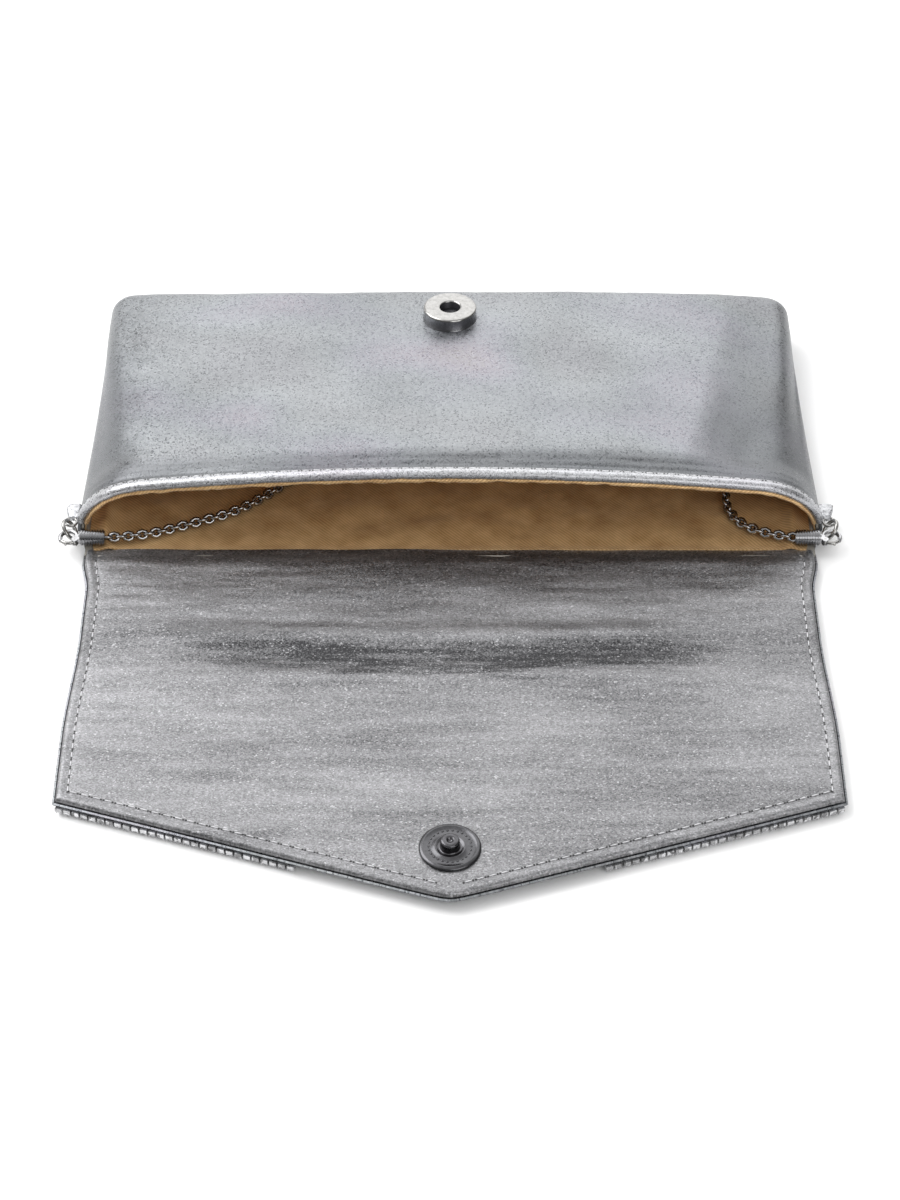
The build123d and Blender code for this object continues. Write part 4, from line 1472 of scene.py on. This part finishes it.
@dataclass
class StrapChain:
    """The chain: one free length from clasp to clasp, its middle coiled inside the bag."""

    diameter: float = 3.0
    length: float = 1.2
    rest: float = 3.75
    coil_x: float = 50.0
    coil_y: float = 57.0
    turns: tuple[tuple[float, float], ...] = (
        (21, 0), (18, 0), (15, 0), (15, 3), (18, 3), (21, 3), (18, 6), (21, 6))
    steps: int = 16
    link_pitch: float = 1.75
    wire: float = 0.42

    def route(self) -> list[Vector]:
        """Control points of the chain's line."""
        rest = self.rest
        left = [(-86.3, 3.6, 4.3), (-77, 4.2, 4.05), (-66, 9, rest), (-52, 14.5, rest), (-37, 30, rest),
                (-16, 50, rest), (8, 70, rest), (30, 78, rest)]
        right = [(71, 44, 8.6), (70.5, 34, 5.4), (70, 24, rest), (69.5, 13, rest), (77.5, 5, 4.05),
                 (86.3, 3.6, 4.3)]
        coil = []
        count = len(self.turns) * self.steps + self.steps // 4 + 1
        for i in range(count):
            lap, step = divmod(i, self.steps)
            now, later = self.turns[min(lap, 7)], self.turns[min(lap + 1, 7)]
            share = smooth(0.6, 1.0, step / self.steps)
            radius, high = (a + (b - a) * share for a, b in zip(now, later))
            angle = math.pi / 2 - i * math.tau / self.steps
            spread = radius / math.cos(math.pi / self.steps) ** 0.7
            x, y = self.coil_x + spread * math.cos(angle), self.coil_y + spread * math.sin(angle)
            coil.append((x, y, rest + high))
        return [at(*p) for p in left + coil + right]

    def line(self) -> list[Vector]:
        """Points along the smooth line through the route."""
        points = self.route()
        curve = bpy.data.curves.new("strap_line", "CURVE")
        curve.dimensions, curve.resolution_u = "3D", 8
        spline = curve.splines.new("NURBS")
        spline.points.add(len(points) - 1)
        for target, point in zip(spline.points, points):
            target.co = (*point, 1.0)
        spline.order_u, spline.use_endpoint_u = 3, True
        holder = bpy.data.objects.new("strap_line", curve)
        mesh = bpy.data.meshes.new_from_object(holder)
        line = [v.co.copy() for v in mesh.vertices]
        bpy.data.objects.remove(holder)
        bpy.data.meshes.remove(mesh)
        return line

    def links(self, line: list[Vector]) -> list[Matrix]:
        """Places of the links, each a quarter turn from the last."""
        runs = np.concatenate([[0], np.cumsum([(b - a).length for a, b in zip(line, line[1:])])])
        table = np.array([list(p) for p in line])
        count = round(runs[-1] / (self.link_pitch * MM))
        log.info("chain of %.3f m in %d links", runs[-1], count)
        spots = [Vector([np.interp(runs[-1] * i / count, runs, table[:, k]) for k in range(3)])
                 for i in range(count + 1)]
        places = []
        for i, (here, there) in enumerate(zip(spots, spots[1:])):
            along = (there - here).normalized()
            turn = (math.pi / 4 if i % 2 else -math.pi / 4) + 0.2 * wander(i * 0.7, 0, 2.0)
            twist = Matrix.Rotation(turn, 3, along)
            up = twist @ (Vector((0, 0, 1)) - along * along.z).normalized()
            places.append(stand((here + there) / 2, along, up))
        return places

    def build(self) -> None:
        line = self.line()
        link = torus(0.92, self.wire, around=8, section=4)
        bmesh.ops.scale(link, verts=link.verts, vec=(1.35, 1.1, 1.0))
        chain = to_object("strap_chain", repeat(link, self.links(line)), ["chain"])
        settle(chain, Body.BAG, Slot.CHAIN, "chain_run_left", "chain_run_right", "chain_coil")
        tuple(line[0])


@dataclass
class RingTabs:
    """The fabric tabs at the two ends of the mouth."""

    tab_x: tuple[float, float] = (92.4, 96.2)
    tab_y: tuple[float, float] = (10.2, 15.4)
    tab_z: tuple[float, float] = (3.1, 5.5)

    def build(self) -> None:
        """Makes both tabs."""
        for side in Side:
            self.tab(side)

    def tab(self, side: Side) -> None:
        """A folded tab of silver fabric that holds the ring's loop to the bag's corner."""
        middle = [sum(pair) / 2 for pair in (self.tab_x, self.tab_y, self.tab_z)]
        wide, deep, high = (pair[1] - pair[0] for pair in (self.tab_x, self.tab_y, self.tab_z))

        def place(turn: float, share: float) -> Vector:
            """One point, round the tab and along it."""
            pinch = 0.62 + 0.38 * smooth(0.0, 0.6, share) - 0.9 * smooth(0.93, 1.0, share)
            pinch -= 0.5 * bump(share, 0, 0.05)
            ca, sa = math.cos(turn), math.sin(turn)
            fold = 1 + 0.18 * wander(ca * 1.5, share * 3 + side.value, 15.0)
            x = middle[0] + 0.5 * wide * pinch * fold * math.copysign(abs(ca) ** 0.6, ca)
            z = middle[2] + 0.5 * high * pinch * fold * math.copysign(abs(sa) ** 0.6, sa)
            return at(side.value * x, self.tab_y[0] + deep * share, z)

        turns, shares = np.linspace(0, math.tau, 37), np.linspace(0, 1, 25)
        piece = cloth_grid(f"ring_tab_cloth_{side.word}", turns, shares, place, "binding",
                           lambda turn, share: (turn * 2, share * 5), flip=side is Side.LEFT)
        settle(piece, Body.BAG, Slot.SILVER, f"ring_tab_{side.word}")


NODE_FINISHES = {
    "board": ("back_board", "flap_spine_board", "flap_board"),
    "nickel": ("snap_socket_plate", "snap_stud_plate",
               *(f"{piece}_{side.word}" for side in Side
                 for piece in ("strap_ring", "ring_loop", "clasp_lever", "clasp_pin"))),
    "chain": ("clasp_body_left", "clasp_body_right"),
    "barrel_and_snap_wall_shade": ("chain_end_left", "chain_end_right"),
}


def dress_nodes() -> None:
    """Gives the CAD nodes that stay their finishes."""
    for finish, names in NODE_FINISHES.items():
        for name in names:
            node = bpy.data.objects[name]
            for index in range(max(1, len(node.material_slots))):
                if node.material_slots:
                    node.material_slots[index].material = finish_named(finish)
                else:
                    node.data.materials.append(finish_named(finish))
            log.info("node %s in %s", name, finish)


def main() -> None:
    """Builds every piece of the bag, then the studio."""
    Studio().build()
    StrapChain().build()
    StuffedBody().build()
    MouthBinding().build()
    Flap().build()
    SnapSocket().build()
    SnapStud().build()
    StoneTrim().build()
    RingTabs().build()
    dress_nodes()


# ---------------------------------------------------------------- studio


@dataclass
class Studio:
    """Pale floor, soft light from the upper left, and the camera."""

    camera_at: tuple[float, float, float] = (0.0, -585.7, 543.6)
    pitch: float = 43.0
    lens: float = 97.2
    pictures_height: float = 36.0
    bright_way: tuple[float, float, float] = (-0.35, 0.5, 0.8)
    sky: tuple[float, float] = (0.12, 1.15)

    def build(self) -> None:
        """Makes the camera, the floor, the lights and the sky."""
        self.camera()
        self.floor()
        self.light("key", (-0.75, 0.45, 0.95), 0.9, 12.0)
        self.light("back", (0.25, 1.25, 0.75), 1.4, 8.0)
        self.light("front", (0.55, -0.95, 0.75), 0.9, 6.5)
        self.world()
        bpy.context.scene.view_settings.view_transform = "Standard"

    def floor(self) -> None:
        """The pale table."""
        bm = bmesh.new()
        bmesh.ops.create_grid(bm, x_segments=8, y_segments=8, size=2.5)
        bmesh.ops.translate(bm, verts=bm.verts, vec=(0, 0, -0.0002))
        floor = to_object("floor", bm, [])
        s = Shader("pale_floor")
        grain = s.noise(s.object_mm(), 0.02, 2.0)
        s.feed(Base_Color=s.blend(grain, (0.94, 0.94, 0.94), (0.96, 0.96, 0.96)))
        s.fix(Roughness=0.9, Specular_IOR_Level=0.1)
        floor.data.materials.append(s.material)
        floor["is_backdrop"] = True

    def world(self) -> None:
        """Soft surroundings: bright above and behind on the left, dim in front on the right."""
        world = bpy.data.worlds.new("studio")
        world.use_nodes = True
        nodes, links = world.node_tree.nodes, world.node_tree.links
        kinds = ("TexCoord", "VectorMath", "MapRange")
        where, lean, ramp = (nodes.new(f"ShaderNode{kind}") for kind in kinds)
        lean.operation = "DOT_PRODUCT"
        lean.inputs[1].default_value = self.bright_way
        links.new(where.outputs["Generated"], lean.inputs[0])
        links.new(lean.outputs["Value"], ramp.inputs["Value"])
        for socket, value in zip(ramp.inputs[1:5], (0.0, 0.85, *self.sky)):
            socket.default_value = value
        links.new(ramp.outputs[0], nodes["Background"].inputs["Strength"])
        nodes["Background"].inputs["Color"].default_value = (1, 1, 1, 1)
        bpy.context.scene.world = world

    def light(self, name: str, place: tuple[float, float, float], size: float, power: float) -> None:
        """A square area light that faces the bag."""
        data = bpy.data.lights.new(name, "AREA")
        data.size, data.energy = size, power
        lamp = bpy.data.objects.new(name, data)
        lamp.location = place
        lamp.rotation_euler = (-Vector(place)).to_track_quat("-Z", "Y").to_euler()
        bpy.context.collection.objects.link(lamp)

    def camera(self) -> None:
        """The camera, level from side to side."""
        data = bpy.data.cameras.new("camera")
        data.sensor_fit = "VERTICAL"
        data.sensor_height = self.pictures_height
        data.lens = self.lens
        seer = bpy.data.objects.new("camera", data)
        seer.location = Vector(self.camera_at) * MM
        seer.rotation_euler = (math.radians(90 - self.pitch), 0, 0)
        bpy.context.collection.objects.link(seer)
        bpy.context.scene.camera = seer


def record_boxes() -> None:
    """Works out the CAD box and the visual model's box, and keeps neither."""
    boxes = {"cad": CAD_BOX, "visual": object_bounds()}
    {key: [list(map(float, corner)) for corner in box] for key, box in boxes.items()}


if __name__ == "__main__":
    main()
    record_boxes()
